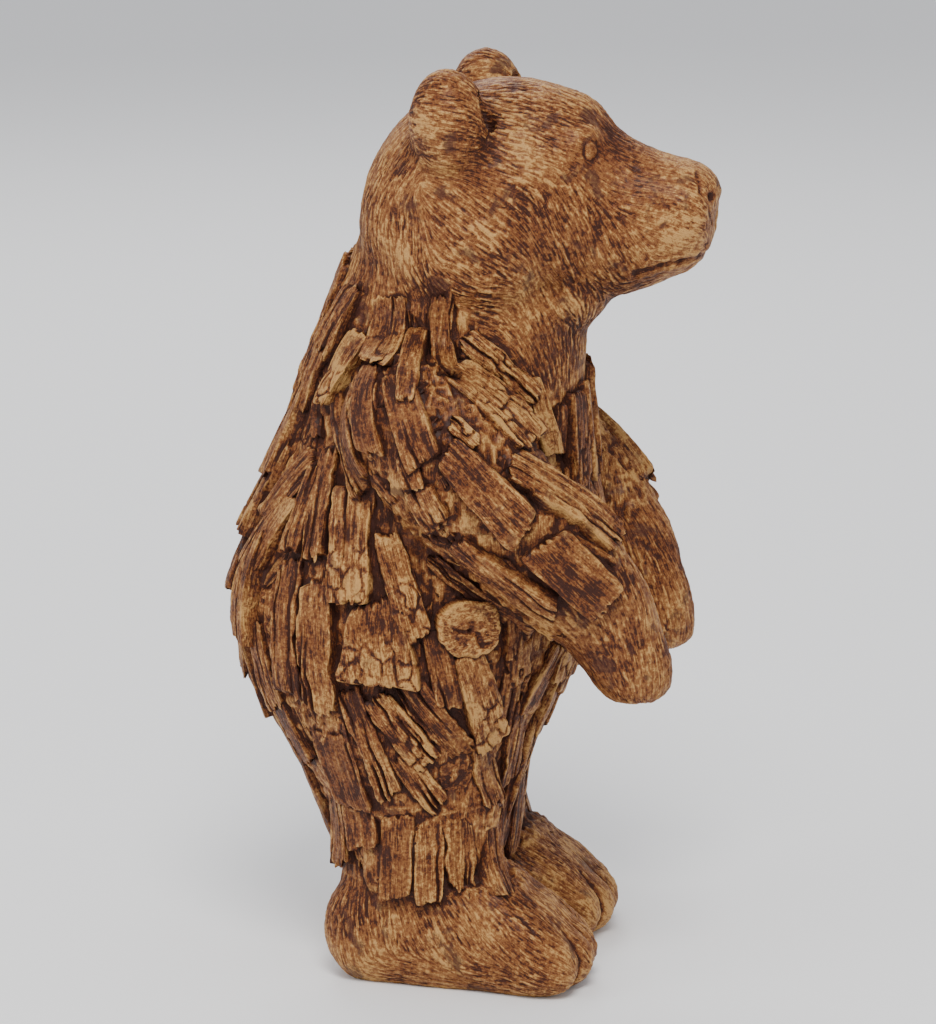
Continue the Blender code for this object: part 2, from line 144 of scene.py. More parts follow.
ARM_CHIPS = (
    (61, 259, 44, 21, 25, 22, 1, 0.9, "wormy"), (52, 270, 40, 11, 13, 44, 1, 0.7, "wormy"),
    (35, 249, 34, 9, 10, 16, 1, 0.6, "plank"), (68, 227, 46, 16, 22, 44, 4, 0, "plank"),
    (47, 221, 56, 18, 18, 42, 1, 0.5, "split"), (47, 191, 38, 24, 21, 46, 1, -0.2, "plank"),
    (62, 189, 50, 11, 13, 50, 2, -0.1, "split"), (64, 176, 56, 8, 9, 50, 0, -0.2, "split"),
    (73, 250, 14, 7, 7, 46, 1, 0.6, "wormy"), (83, 219, 18, 15, 15, 27, 0, 0.2, "checked"),
    (88, 234, 14, 10, 10, 20, 0, -0.2, "plank"),
)
FLANK_CHIPS = (
    (126, 212, 47, 10, 12, 4, 1, -0.1, "split"), (134, 208, 36, 9, 9, -4, 1, 0, "split"),
    (112, 197, 48, 18, 20, 4, 2, 0.5, "checked"), (93, 181, 46, 12, 15, 17, 1, 0.5, "checked"),
    (149, 194, 42, 16, 18, -26, 1, 0.2, "plank"), (146, 214, 40, 12, 14, -34, 0, -0.1, "split"),
    (154, 172, 48, 18, 20, 0, 3, 0.1, "split"), (133, 158, 56, 13, 15, 2, 1, 0, "split"),
    (121, 153, 55, 16, 17, 4, 2, 0.2, "split"), (101, 157, 34, 21, 39, 6, 3, 0.2, "checked"),
    (65, 131, 48, 15, 18, 20, 4, 0.6, "checked"), (105, 112, 50, 10, 12, 18, 1, 0, "split"),
    (93, 118, 37, 14, 16, 36, 1, 0.5, "wormy"), (81, 123, 44, 15, 13, 38, 0, 0, "split"),
    (88, 96, 31, 13, 11, 35, 1, 0.3, "split"), (139, 113, 34, 16, 14, 20, 1, -0.3, "plank"),
    (117, 98, 36, 22, 20, 8, 0, -0.5, "plank"), (59, 95, 31, 15, 15, 18, 0, 0.2, "split"),
    (145, 138, 36, 14, 16, 14, 0, -0.1, "split"), (50, 152, 34, 14, 13, 6, 0, 0, "wormy"),
    (79, 146, 34, 12, 12, 12, 0, -0.2, "plank"),
)
CUFF_CHIPS = (
    (97, 60, 36, 14, 13, 0, 1, -0.1, "plank"), (84, 59, 36, 12, 11, 0, 1, 0.3, "plank"),
    (72, 62, 30, 13, 12, 0, 1, 0, "split"), (56, 60, 34, 15, 11, -22, 1, 0, "split"),
    (113, 73, 20, 16, 15, 12, 1, -0.3, "plank"), (128, 66, 30, 15, 14, 6, 0, 0, "split"),
)
CUFF_SPREAD = 1.14          # the cuff's chips are this much wider than the plain solid's, and nearly touch
# Chips on the trunk behind the paw
GROIN_CHIPS = (
    (40, 108, 46, 13, 14, 12, 1, 0.1, "split"), (33, 134, 32, 14, 12, -22, 1, 0.1, "plank"),
    (52, 128, 34, 12, 12, 4, 0, 0, "split"),
)
# Sawn knots: angle, height, diameter, how far they stand proud
KNOTS = ((70, 163, 26, 2), (74, 96, 17, 0))
# Their tones, and their drying cracks: direction in radians, reach and width
KNOT_TONES = (0.8, -0.6)
KNOT_CRACKS = (((0.7, 1, 1.5), (3.4, 0.7, 1), (5.2, 0.4, 1.7)), ((2.2, 0.7, 0.6), (4.6, 0.5, 0.8)))
# Courses of plainer chips on the spine and on the belly: height, first angle, last angle, how many
SPINE_COURSES = (
    (288, 160, 200, 2), (262, 168, 192, 2), (236, 160, 200, 4), (208, 162, 198, 3), (182, 164, 196, 3),
    (154, 162, 198, 4), (128, 158, 202, 4), (104, 154, 206, 4), (80, 146, 214, 5),
)
BELLY_COURSES = (
    (236, -20, 20, 3), (206, -24, 24, 4), (176, -26, 26, 4), (148, -24, 24, 4), (122, -20, 20, 3),
    (96, -24, 24, 3), (74, -34, 34, 4),
)
SHORTEST_MATCHED = 20       # shown chips shorter than this have no match on the left side
MATCH_PLAY = (2, 3, 5)      # how far a match may turn round the body, rise and lean otherwise
MATCH_LENGTHS = (0.88, 1.08)
SWAP_CHANCE = 0.4           # how often a match's end takes the width of the other end
COURSE_LENGTH = 42
COURSE_WIDTH = 20
COURSE_PLAY = (2, 5, 14)    # the same play for the chips in courses
COURSE_LENGTHS = (0.8, 1.25)
COURSE_UPPER_WIDTHS = (0.65, 1.15)
COURSE_LOWER_WIDTHS = (0.65, 1.2)
COURSE_PROUD = 2.5          # most that a chip of a course stands proud
CHIP_THICKNESS = 9          # from the buried face to the outer face
CHIP_RISE = 3.2             # of that, what stands out of the body
CHIP_LIFT = 1.2             # how much more the lower end stands out, and how much less the upper end
CHIP_ROLL = 7               # most that a chip tips sideways, in degrees
CHIP_SKEW = 0.28            # how askew its ends are broken, as a share of half its width
CHIP_SEED = 11
# How far round, in degrees, and how far up the facing is sampled for a chip
SAMPLES = ((0, 0), (5, 0), (-5, 0), (0, 8), (0, -8))


def at(sideways, forward, height):
    """A point from its offsets in parts of the height."""
    return Vector((sideways, -forward, height)) * UNIT


def rounded(value, power):
    """A sine or cosine pushed towards a box's for a power under 1."""
    return math.copysign(abs(value) ** power, value)


def linked(name, data):
    """A new object of the scene that shows this mesh, light or camera."""
    piece = bpy.data.objects.new(name, data)
    bpy.context.scene.collection.objects.link(piece)
    return piece


def mesh_of(build, name):
    """The mesh that a bmesh leaves."""
    mesh = bpy.data.meshes.new(name)
    build.to_mesh(mesh)
    build.free()
    return mesh


def skin(loops, name):
    """A closed mesh over loops of points that have the same count, with flat ends."""
    build = bmesh.new()
    rows = [[build.verts.new(point) for point in loop] for loop in loops]
    for lower, upper in zip(rows, rows[1:]):
        for step in range(len(lower)):
            after = (step + 1) % len(lower)
            build.faces.new((lower[step], lower[after], upper[after], upper[step]))
    build.faces.new(rows[0])
    build.faces.new(rows[-1])
    bmesh.ops.recalc_face_normals(build, faces=build.faces)
    return mesh_of(build, name)


def loft(rings, name, power=1.0, around=28):
    """A skin over rings, each a middle point with two half axes; a power under 1 squares them."""
    loops = []
    for middle, across, along in rings:
        loop = []
        for step in range(around):
            turn = math.tau * step / around
            side, rise = rounded(math.cos(turn), power), rounded(math.sin(turn), power)
            loop.append(middle + across * side + along * rise)
        loops.append(loop)
    return skin(loops, name)


def refined(rows, steps=4):
    """Rows of numbers with smooth in-between rows, so that a loft has no corners from ring to ring."""
    rows = [np.array(row, float) for row in rows]
    padded = [2 * rows[0] - rows[1], *rows, 2 * rows[-1] - rows[-2]]
    fine = []
    for before, start, end, after in zip(padded, padded[1:], padded[2:], padded[3:]):
        for step in range(steps):
            t = step / steps
            curve = 2 * start + (end - before) * t
            curve += (2 * before - 5 * start + 4 * end - after) * t * t
            curve += (3 * start - before - 3 * end + after) * t * t * t
            fine.append(curve / 2)
    return [*fine, rows[-1]]


def torso():
    rings = [
        (at(0, forward, height), at(half_width, 0, 0), at(0, half_depth, 0))
        for height, forward, half_depth, half_width in refined(TORSO_RINGS)
    ]
    return loft(rings, "torso")


def ball(numbers, side, name):
    """A rounded mass: an ellipsoid from its middle, half sizes and nod."""
    sideways, forward, height, half_width, half_length, half_height, nod = numbers
    build = bmesh.new()
    bmesh.ops.create_uvsphere(build, u_segments=24, v_segments=14, radius=UNIT)
    place = Matrix.Translation(at(side * sideways, forward, height))
    turn = Matrix.Rotation(math.radians(nod), 4, "X")
    size = Matrix.Diagonal((half_width, half_length, half_height, 1))
    bmesh.ops.transform(build, matrix=place @ turn @ size, verts=build.verts)
    return mesh_of(build, name)


def head():
    rings = [
        (at(0, forward, (top + bottom) / 2), at(half_width, 0, 0), at(0, 0, (top - bottom) / 2))
        for forward, top, bottom, half_width in refined(HEAD_RINGS)
    ]
    return loft(rings, "head")


def limb(rings, side, name):
    """An arm or a leg: rings square to the line through their middles."""
    rings = refined(rings)
    middles = [at(side * sideways, forward, height) for sideways, forward, height, _, _ in rings]
    sections = []
    for index, (_, _, _, half_width, half_depth) in enumerate(rings):
        run = middles[min(index + 1, len(rings) - 1)] - middles[max(index - 1, 0)]
        along = Vector((1, 0, 0)).cross(run).normalized()
        across = run.cross(along).normalized()
        sections.append((middles[index], across * half_width * UNIT, along * half_depth * UNIT))
    return loft(sections, name)


def foot(side):
    rings = [
        (at(side * sideways, forward, (top + under) / 2), at(half_width, 0, 0), at(0, 0, (top - under) / 2))
        for forward, top, under, half_width, sideways in refined(FOOT_RINGS)
    ]
    return loft(rings, "foot", power=FOOT_SQUARENESS)


def toe(side, index):
    """One toe of a foot; they fan out from its inner to its outer edge."""
    share = index / (TOES - 1) - 0.5
    sideways = FOOT_RINGS[-1][4] + share * TOE_SPREAD
    forward = TOE_FORWARD - TOE_BEND * share * share
    return ball((sideways, forward, TOE_HEIGHT, TOE_RADIUS, TOE_RADIUS + 2, TOE_HEIGHT, 0), side, "toe")


def head_turn():
    pivot = Matrix.Translation(at(0, HEAD_PIVOT, 0))
    return pivot @ Matrix.Rotation(math.radians(-HEAD_TURN), 4, "Z") @ pivot.inverted()


def turned(forms):
    """The head's masses, turned together about the neck."""
    for form in forms:
        form.transform(head_turn())
    return forms


def head_forms():
    forms = [head(), ball(NOSE_PAD, 1, "nose"), ball(CHIN, 1, "chin"), ball(THROAT, 1, "throat")]
    for side in (-1, 1):
        forms += [ball(CHEEK, side, "cheek"), ball(BROW, side, "brow"), ball(EAR, side, "ear")]
    return turned(forms)


def joined(meshes, name):
    """One object that holds all these meshes."""
    build = bmesh.new()
    for mesh in meshes:
        build.from_mesh(mesh)
    return linked(name, mesh_of(build, name))


def evaluated_mesh(piece):
    """The object's mesh as its modifiers leave it, as a mesh of its own."""
    bpy.context.view_layer.update()
    return bpy.data.meshes.new_from_object(piece.evaluated_get(bpy.context.evaluated_depsgraph_get()))


def steady(mesh):
    """The same mesh with its vertices and faces in a fixed order, since a boolean's order varies by run."""
    points = positions(mesh)
    order = np.lexsort(points.T)
    rank = np.empty(len(order), np.int64)
    rank[order] = np.arange(len(order))
    faces = []
    for face in mesh.polygons:
        corners = rank[list(face.vertices)].tolist()
        first = corners.index(min(corners))
        faces.append(corners[first:] + corners[:first])
    ordered = bpy.data.meshes.new(mesh.name)
    ordered.from_pydata(points[order].tolist(), [], sorted(faces))
    return ordered


def core_mesh():
    """The bear without its chips: all masses merged and softened, with hollow ears."""
    forms = [torso(), *head_forms()]
    for side in (-1, 1):
        forms += [limb(ARM_RINGS, side, "arm"), limb(LEG_RINGS, side, "leg"), foot(side)]
        forms += [toe(side, index) for index in range(TOES)]
    bear = joined(forms, "core")
    hollows = joined(turned([ball(EAR_HOLLOW, side, "hollow") for side in (-1, 1)]), "hollows")
    merge = bear.modifiers.new("merge", "REMESH")
    merge.mode = "VOXEL"
    merge.voxel_size = CORE_VOXEL * UNIT
    carve = bear.modifiers.new("carve", "BOOLEAN")
    carve.object = hollows
    carve.operation = "DIFFERENCE"
    whole = linked("whole core", steady(evaluated_mesh(bear)))
    soften = whole.modifiers.new("soften", "SMOOTH")
    soften.iterations = SOFTENING
    mesh = evaluated_mesh(whole)
    for piece in (bear, hollows, whole):
        bpy.data.objects.remove(piece)
    return mesh


def tree_of(mesh):
    build = bmesh.new()
    build.from_mesh(mesh)
    tree = BVHTree.FromBMesh(build)
    build.free()
    return tree


def hashed(cells, seed):
    """A steady random number from -1 to 1 for each row of whole numbers."""
    mixed = cells[:, 0] * 374761393 + cells[:, 1] * 668265263 + cells[:, 2] * 1440662683 + seed * 974634777
    mixed = (mixed ^ (mixed >> 13)) * 1274126177
    mixed = (mixed ^ (mixed >> 16)) & 0xFFFF
    return mixed / 32767.5 - 1


def noise(points, size, seed):
    """Smooth noise from -1 to 1; size is that of its lumps, one number or one for each direction."""
    grid = points / size
    cell = np.floor(grid)
    part = grid - cell
    part = part * part * (3 - 2 * part)
    cell = cell.astype(np.int64)
    total = np.zeros(len(points))
    for corner in itertools.product((0, 1), repeat=3):
        weight = np.ones(len(points))
        for axis, side in enumerate(corner):
            weight = weight * (part[:, axis] if side else 1 - part[:, axis])
        total += weight * hashed(cell + np.array(corner), seed)
    return total


def smoothstep(low, high, value):
    t = np.clip((value - low) / (high - low), 0, 1)
    return t * t * (3 - 2 * t)


def positions(mesh):
    flat = np.empty(len(mesh.vertices) * 3, np.float32)
    mesh.vertices.foreach_get("co", flat)
    return flat.reshape(-1, 3).astype(float)


def normals(mesh):
    flat = np.empty(len(mesh.vertices) * 3, np.float32)
    mesh.vertex_normals.foreach_get("vector", flat)
    return flat.reshape(-1, 3).astype(float)


def set_positions(mesh, points):
    mesh.vertices.foreach_set("co", points.astype(np.float32).ravel())
    mesh.update()


def put(mesh, name, values):
    """Stores a number or a vector for each vertex."""
    kind = "FLOAT" if values.ndim == 1 else "FLOAT_VECTOR"
    layer = mesh.attributes.get(name) or mesh.attributes.new(name, kind, "POINT")
    layer.data.foreach_set("value" if values.ndim == 1 else "vector", values.astype(np.float32).ravel())


# How the fur lies on the head, seen from the side: sideways, forward, height, then the stroke's run
# forward and down
HEAD_FLOW = (
    (0, 20, 388, 1, 0.1), (0, 50, 380, 1, 0.4), (0, -20, 380, 1, -0.3), (0, -42, 345, 0.15, 1),
    (0, -48, 315, 0, 1),
    (40, 25, 375, 1, 0.15), (36, 50, 372, 1, 0.2), (26, 68, 358, 1, 0.55), (42, 33, 358, 1, 0.3),
    (44, 14, 362, 1, 0.35), (46, 2, 335, 1, 0.75), (47, 4, 318, 1, 0.65), (44, 12, 300, 1, 0.25),
    (42, 44, 338, 0.45, 0.9), (34, 55, 320, 0.35, 1), (30, 68, 315, 0.5, 0.85), (22, 80, 342, 1, 0.05),
    (20, 92, 330, 0.9, 0.4), (18, 80, 304, 1, -0.45), (35, 30, 297, 0.6, 0.8), (25, 44, 286, 0.5, 0.85),
    (40, -40, 340, -0.25, 1), (40, -44, 320, -0.1, 1), (42, -30, 308, 0.1, 1), (44, -22, 322, 0.05, 1),
    (42, -18, 300, 0.45, 0.85), (50, -6, 378, 1, 0.15), (50, -4, 360, 1, 0.1), (20, 48, 262, 0.1, 1),
    (0, 50, 262, 0, 1), (0, 100, 330, 0, 1), (38, -26, 356, -0.5, 0.85),
)
# The same on the arms and paws, and on the feet
PAW_FLOW = ((60, 50, 190, 0.6, 0.8), (48, 72, 158, 0.35, 1), (45, 78, 135, 0.15, 1))
FOOT_FLOW = (
    (50, -58, 20, 0.1, 1), (50, -50, 50, 0.05, 1), (62, -30, 30, 0.15, 1), (62, -10, 30, 0.45, 0.9),
    (64, 10, 35, 0.6, 0.75), (66, 30, 25, 0.75, 0.6), (62, 48, 20, 0.9, 0.4), (36, 20, 50, 1, 0.4),
    (36, 45, 36, 1, 0.6), (10, 20, 30, 0.8, 0.5), (60, -20, 6, 1, 0.1), (64, 20, 5, 1, 0.1),
    (36, -58, 30, 0, 1),
)
STROKE_WIDTHS = (0.9, 1.5)
SHALLOWEST = 0.27           # the shallowest stroke's depth as a share of the deepest one's
STROKE_SPREAD = 0.13        # how far a stroke strays from the lie of the fur, in radians
MUZZLE_CALM = 0.55          # how much shorter and shallower the strokes are on the muzzle
COLLAR_BACK = 300           # height of the fur's lower edge at the nape and at the breast
COLLAR_FRONT = 252
WRIST = (50, 178)           # forward offset and height where the paw's fur starts
PAW_TONE = -0.45            # the paws are painted darker than the head and the feet
PAW_MIDDLE = 165            # fur this high, and so far above or below it, is a paw's
PAW_SPAN = 75
ANKLE = 43                  # height where the foot's fur ends, and the same at the heel
HEEL = 70


def flow_along(points, sites):
    """The run of the fur at each point: the strongest axis of the near sites' runs, whatever their sense."""
    places = []
    runs = []
    for sideways, forward, height, ahead, down in sites:
        for side in ((-1, 1) if sideways else (1,)):
            places.append(tuple(at(side * sideways, forward, height)))
            runs.append((0, -ahead, -down))
    places = np.array(places)
    runs = np.array(runs)
    runs /= np.linalg.norm(runs, axis=1)[:, None]
    gaps = ((points[:, None, :] - places[None]) ** 2).sum(axis=2) / (UNIT * UNIT)
    weights = 1 / (gaps + 40) ** 2
    tensors = np.einsum("ij,jk,jl->ikl", weights, runs, runs)
    axes = np.linalg.eigh(tensors)[1][:, :, 2]
    return axes * np.sign((axes * (weights @ runs)).sum(axis=1) + 1e-9)[:, None]


def zone_sites(heights):
    """Which sites the fur at each height follows."""
    low, high = heights < 90, heights > 240
    return ((high, HEAD_FLOW), (low, FOOT_FLOW), (~(low | high), PAW_FLOW))


def all_lies(points, facings, cover):
    """The lie of the fur, and of the splinters between the chips, at every point."""
    lies = np.tile((0.0, 0.0, -1.0), (len(points), 1))
    for zone, sites in zone_sites(points[:, 2] / UNIT):
        furred = np.flatnonzero(zone & (cover > 0.02))
        for part in np.array_split(furred, max(1, len(furred) // 20000)):
            lies[part] = flow_along(points[part], sites)
    lies -= facings * (lies * facings).sum(axis=1)[:, None]
    return lies / np.maximum(np.linalg.norm(lies, axis=1), 1e-6)[:, None]


def fur_cover(points):
    """1 where the bear is furred and 0 where it is clad in chips."""
    sideways, forward, height = points[:, 0] / UNIT, -points[:, 1] / UNIT, points[:, 2] / UNIT
    slope = (COLLAR_BACK - COLLAR_FRONT) / 45
    collar = COLLAR_BACK - slope * np.clip(forward, 0, 60)
    on_head = smoothstep(-3, 3, height - collar)
    past_wrist = (forward - WRIST[0]) * 0.6 + (WRIST[1] - height) * 0.8
    on_paw = smoothstep(-4, 4, past_wrist) * (np.abs(sideways) > 24) * (height > 110) * (forward > 44)
    ankle = ANKLE + (HEEL - ANKLE) * smoothstep(-34, -44, forward)
    on_foot = smoothstep(3, -3, height - ankle)
    return np.maximum(np.maximum(on_head, on_paw), on_foot)


def carve_fur(points, facings, cover, fur, draw):
    """The depth of the fur strokes and how dark the paint sits in them, at each point."""
    depth = np.zeros(len(points))
    stain = np.zeros(len(points))
    finder = KDTree(len(points))
    for index, point in enumerate(points.tolist()):
        finder.insert(point, index)
    finder.balance()
    order = np.random.default_rng(5).permutation(len(points))
    order = order[cover[order] > 0.5]
    cells = np.floor(points[order] / fur.spacing).astype(np.int64)
    _, first = np.unique(cells, axis=0, return_index=True)
    seeds = order[np.sort(first)]
    places = points[seeds]
    runs = np.zeros((len(seeds), 3))
    for zone, sites in zone_sites(places[:, 2] / UNIT):
        runs[zone] = flow_along(places[zone], sites)
    outs = facings[seeds]
    runs -= outs * (runs * outs).sum(axis=1)[:, None]
    lengths = np.linalg.norm(runs, axis=1)
    patches = noise(places, 16 * UNIT, 3)
    bold = smoothstep(0.05, 0.55, noise(places, 11 * UNIT, 8))
    muzzle = smoothstep(60, 78, -places[:, 1] / UNIT) * (places[:, 2] > 280 * UNIT)
    for number, seed in enumerate(seeds):
        if lengths[number] < 0.2:
            continue
        calm = 1 - MUZZLE_CALM * muzzle[number]
        half = draw.uniform(fur.shortest, fur.longest) / 2 * calm
        wide = draw.uniform(*STROKE_WIDTHS) / 2 * UNIT
        uneven = 0.7 + 0.35 * patches[number] + 0.3 * bold[number]
        deep = fur.depth * draw.uniform(SHALLOWEST, 1) * uneven * calm
        dark = draw.uniform(0.15, 1) * (0.65 + 0.4 * patches[number] + 0.9 * bold[number])
        place = places[number]
        run = runs[number] / lengths[number]
        angle = draw.gauss(0, STROKE_SPREAD)
        side = np.cross(outs[number], run)
        run = run * math.cos(angle) + side * math.sin(angle)
        side = np.cross(outs[number], run)
        near = np.array([found[1] for found in finder.find_range(place, half + wide)])
        if len(near) == 0:
            continue
        offset = points[near] - place
        length = offset @ run / half
        breadth = offset @ side / wide
        groove = np.clip(1 - breadth * breadth, 0, 1) * np.clip(1 - length ** 4, 0, 1)
        groove *= 0.6 + 0.4 * np.clip(length, -1, 1)
        depth[near] = np.maximum(depth[near], groove * deep)
        stain[near] = np.maximum(stain[near], groove * dark)
    return depth, stain


# Features of the face: places as sideways, forward, height on one side
NOSTRIL = (8, 103, 341)
NOSTRIL_SIZE = 3.2
NOSTRIL_DEPTH = 2.4
NOSE_EDGE = ((10, 99, 350), (12, 98.5, 342), (10, 99.5, 334), (4, 103, 329))
CHEEK_LINE = ((13, 90, 352), (17, 96, 347))
NOSE_GROOVES = ((NOSE_EDGE, 1.1, 0.8), (CHEEK_LINE, 0.9, 0.2))      # with their half width and depth
NOSE_STAIN = 0.4            # how dark the paint lies in them
MOUTH_AXIS = 66             # forward offset of the upright line about which the mouth runs
MOUTH_REACH = 68            # degrees from its middle to a corner
MOUTH_FRONT = 316           # height of the mouth's middle
MOUTH_DROP = 7              # its corners lie this much lower
MOUTH_GROOVE = 1.4          # its half width
LIP_WIDTH = 6
LIP_CLEFT = (331, 324, MOUTH_FRONT)     # heights along the short groove from the nose to the mouth
LIP_CLEFT_WIDTH = 1.2
EYE_HALF_HEIGHT = 4.1
EYE_HALF_LENGTH = 2.9
EYE_LINE = 0.2              # width of the ring round the eye, as a share of the eye's
EYE_REACH = 14              # an eye's carving ends this far in from it, short of the other eye
TOE_GROOVE = 1.1            # half width of the groove between two toes
TOE_GROOVE_DEPTH = 1.3
TOE_STAIN = 0.45            # how dark the paint lies in it


def touch(surface, angle, height, axis=CHIP_AXIS):
    """Where a level line towards an upright axis meets the surface, and the facing there."""
    turn = math.radians(angle)
    outward = Vector((-math.sin(turn), -math.cos(turn), 0))
    point, normal, _, _ = surface.ray_cast(at(0, axis, height) + outward * HEIGHT, -outward)
    return point, normal


def line_gap(points, path):
    """The distance of each point from a bent line."""
    gap = np.full(len(points), 1.0)
    for start, end in zip(path, path[1:]):
        run = end - start
        share = np.clip((points - start) @ run / (run @ run), 0, 1)
        gap = np.minimum(gap, np.linalg.norm(points - start - share[:, None] * run, axis=1))
    return gap


def darken(stain, amount):
    """Raises the dark paint at each point to this amount where it is less."""
    np.maximum(stain, amount, out=stain)


def carve_mouth(points, surface, moved, stain):
    """The mouth between its lips, and the short groove from the nose down to it, with painted shadow on the lips
    below it.
    """
    level = []
    for turn in np.linspace(-MOUTH_REACH, MOUTH_REACH, 25):
        height = MOUTH_FRONT - MOUTH_DROP * (turn / MOUTH_REACH) ** 2
        level.append(np.array(touch(surface, turn + HEAD_TURN, height, MOUTH_AXIS)[0]))
    gap = line_gap(points, level) / UNIT
    ragged = 0.65 + 0.6 * noise(points, 3.5 * UNIT, 41)
    groove = np.exp(-((gap / MOUTH_GROOVE) ** 2))
    moved += (-1.1 * groove + 0.4 * np.exp(-(((gap - 3.4) / 1.6) ** 2))) * ragged
    lips = np.exp(-((gap / LIP_WIDTH) ** 2))
    moved += 0.7 * noise(points, 3.2 * UNIT, 43) * lips
    darken(stain, 0.5 * ragged * groove)
    # Painted shadow: the lips below the mouth line are darkened as the muzzle's shade would darken them
    under = points[:, 2] / UNIT < MOUTH_FRONT - 1
    darken(stain, 0.45 * ragged * under * lips)
    cleft = [np.array(touch(surface, HEAD_TURN, height, MOUTH_AXIS)[0]) for height in LIP_CLEFT]
    groove = np.exp(-((line_gap(points, cleft) / UNIT / LIP_CLEFT_WIDTH) ** 2))
    moved -= 0.9 * groove
    darken(stain, 0.4 * groove)


def carve_nose(points, surface, side, moved, stain):
    """One side of the nose: its edge and its nostril."""
    turn = head_turn()
    for path, wide, deep in NOSE_GROOVES:
        spots = [turn @ at(side * sideways, forward, height) for sideways, forward, height in path]
        route = [np.array(surface.find_nearest(spot)[0]) for spot in spots]
        gap = line_gap(points, route) / UNIT
        moved -= deep * np.exp(-((gap / wide) ** 2))
        darken(stain, NOSE_STAIN * np.exp(-((gap / wide) ** 2)))
    place = np.array(surface.find_nearest(turn @ at(side * NOSTRIL[0], NOSTRIL[1], NOSTRIL[2]))[0])
    gap = np.linalg.norm((points - place) / UNIT * (1, 0.8, 1.3), axis=1)
    moved -= NOSTRIL_DEPTH * np.exp(-((gap / NOSTRIL_SIZE * 1.4) ** 2))
    darken(stain, np.exp(-((gap / NOSTRIL_SIZE) ** 2)))


def carve_eye(points, surface, side, moved, stain):
    """One eye: a small dome in a shallow socket, with a fine ring round it and painted shadow over the socket."""
    turn = head_turn()
    start = turn @ at(side * PARTS_OF_HEIGHT, EYE[1], EYE[0])
    place = np.array(surface.ray_cast(start, turn.to_3x3() @ Vector((-side, 0, 0)))[0])
    offset = (points - place) / UNIT
    near = np.abs(offset[:, 0]) < EYE_REACH
    ring = np.hypot(offset[:, 1] / EYE_HALF_LENGTH, offset[:, 2] / EYE_HALF_HEIGHT)
    wide = np.linalg.norm(offset * (0.6, 1, 0.8), axis=1)
    moved += near * (-1.5 * np.exp(-((wide / 8) ** 2)) + 1.1 * np.clip(1 - ring * ring, 0, 1))
    line = np.exp(-(((ring - 1) / EYE_LINE) ** 2))
    moved -= near * 0.5 * line
    darken(stain, near * 0.6 * line)
    # Painted shadow: the paint over the socket is darkened as the brow's shade would darken it
    socket = np.exp(-(((wide + 3 * noise(points, 5 * UNIT, 42)) / 11) ** 2))
    darken(stain, near * 0.42 * socket)


def carve_face(points, surface):
    """The mouth, nose and eyes: how far each point moves out, and how dark the paint lies there."""
    moved = np.zeros(len(points))
    stain = np.zeros(len(points))
    carve_mouth(points, surface, moved, stain)
    for side in (-1, 1):
        carve_nose(points, surface, side, moved, stain)
        carve_eye(points, surface, side, moved, stain)
    return moved * UNIT, stain


def carve_toes(points):
    """The grooves between the toes."""
    sideways, forward, height = points[:, 0] / UNIT, -points[:, 1] / UNIT, points[:, 2] / UNIT
    groove = np.zeros(len(points))
    reach = smoothstep(39, 50, forward) * (height < 40)
    for side in (-1, 1):
        for index in range(TOES - 1):
            share = (index + 0.5) / (TOES - 1) - 0.5
            middle = side * (FOOT_RINGS[-1][4] + share * TOE_SPREAD)
            gap = (sideways - middle - side * share * (forward - TOE_FORWARD) * 0.5) / TOE_GROOVE
            groove = np.maximum(groove, np.exp(-gap * gap) * reach)
    return -groove * TOE_GROOVE_DEPTH * UNIT, groove


LOW_FILL = 2.1              # how much less deep the gaps between the chips are on the thighs and ankles


def crumble(points, cover):
    """The height of the broken wood between the chips: splinters and lumps, with fuller gaps low down."""
    bare = 1 - cover
    splinters = noise(points, np.array((2.2, 2.2, 12)) * UNIT, 21)
    splinters += 0.7 * noise(points, np.array((1.6, 1.6, 5)) * UNIT, 22)
    lumps = noise(points, 6 * UNIT, 23) + 0.7 * ridged(points, 3.4 * UNIT, 24)
    fill = LOW_FILL * smoothstep(150, 100, points[:, 2] / UNIT)
    return bare * (0.8 * splinters + 0.8 * lumps + fill) * UNIT


def sculpted_core(fur, draw):
    """The fine core with its fur, face, toes and crumbled wood, each vertex knowing its paint."""
    coarse, surface = coarse_core()
    piece = linked("fine core", coarse)
    divide = piece.modifiers.new("divide", "SUBSURF")
    divide.levels = divide.render_levels = 2
    mesh = evaluated_mesh(piece)
    bpy.data.objects.remove(piece)
    points = positions(mesh)
    facings = normals(mesh)
    cover = fur_cover(points)
    depth, stain = carve_fur(points, facings, cover, fur, draw)
    face, face_stain_and_shadow = carve_face(points, surface)
    toes, toe_stain = carve_toes(points)
    calm = 1 - np.clip(face_stain_and_shadow * 1.5, 0, 1)
    height = -depth * cover * calm + face + toes + crumble(points, cover)
    grit = 0.22 * UNIT * noise(points, 2.5 * UNIT, 31) * cover
    swell = 0.5 * UNIT * noise(points, 12 * UNIT, 32) * cover
    height += grit + swell
    points += facings * height[:, None]
    points[:, 2] = np.maximum(points[:, 2], 0)
    set_positions(mesh, points)
    # The stain holds the wash in the strokes and grooves, and painted shadow below the mouth and over the eye
    # sockets
    put(mesh, "stain", np.maximum(np.maximum(stain * cover, face_stain_and_shadow), toe_stain * TOE_STAIN))
    worn = 0.6 * noise(points, 16 * UNIT, 34) - 0.4
    on_paws = np.abs(points[:, 2] / UNIT - PAW_MIDDLE) < PAW_SPAN
    furred = 0.35 * noise(points, 30 * UNIT, 33) + PAW_TONE * on_paws
    put(mesh, "tone", furred * cover + worn * (1 - cover))
    put(mesh, "lie", all_lies(points, facings, cover))
    return mesh


# The planes that part the sculpted core into pieces: forward offset and height of a point, and how the
# plane climbs backwards
COLLAR_CUT = (0, 264, 0.5)
ANKLE_CUT = (0, 47, 0)
CUT_OVERLAP = 1             # the pieces run this far into each other
HEAD_TRIANGLES = 190000
TRUNK_TRIANGLES = 120000
FEET_TRIANGLES = 100000


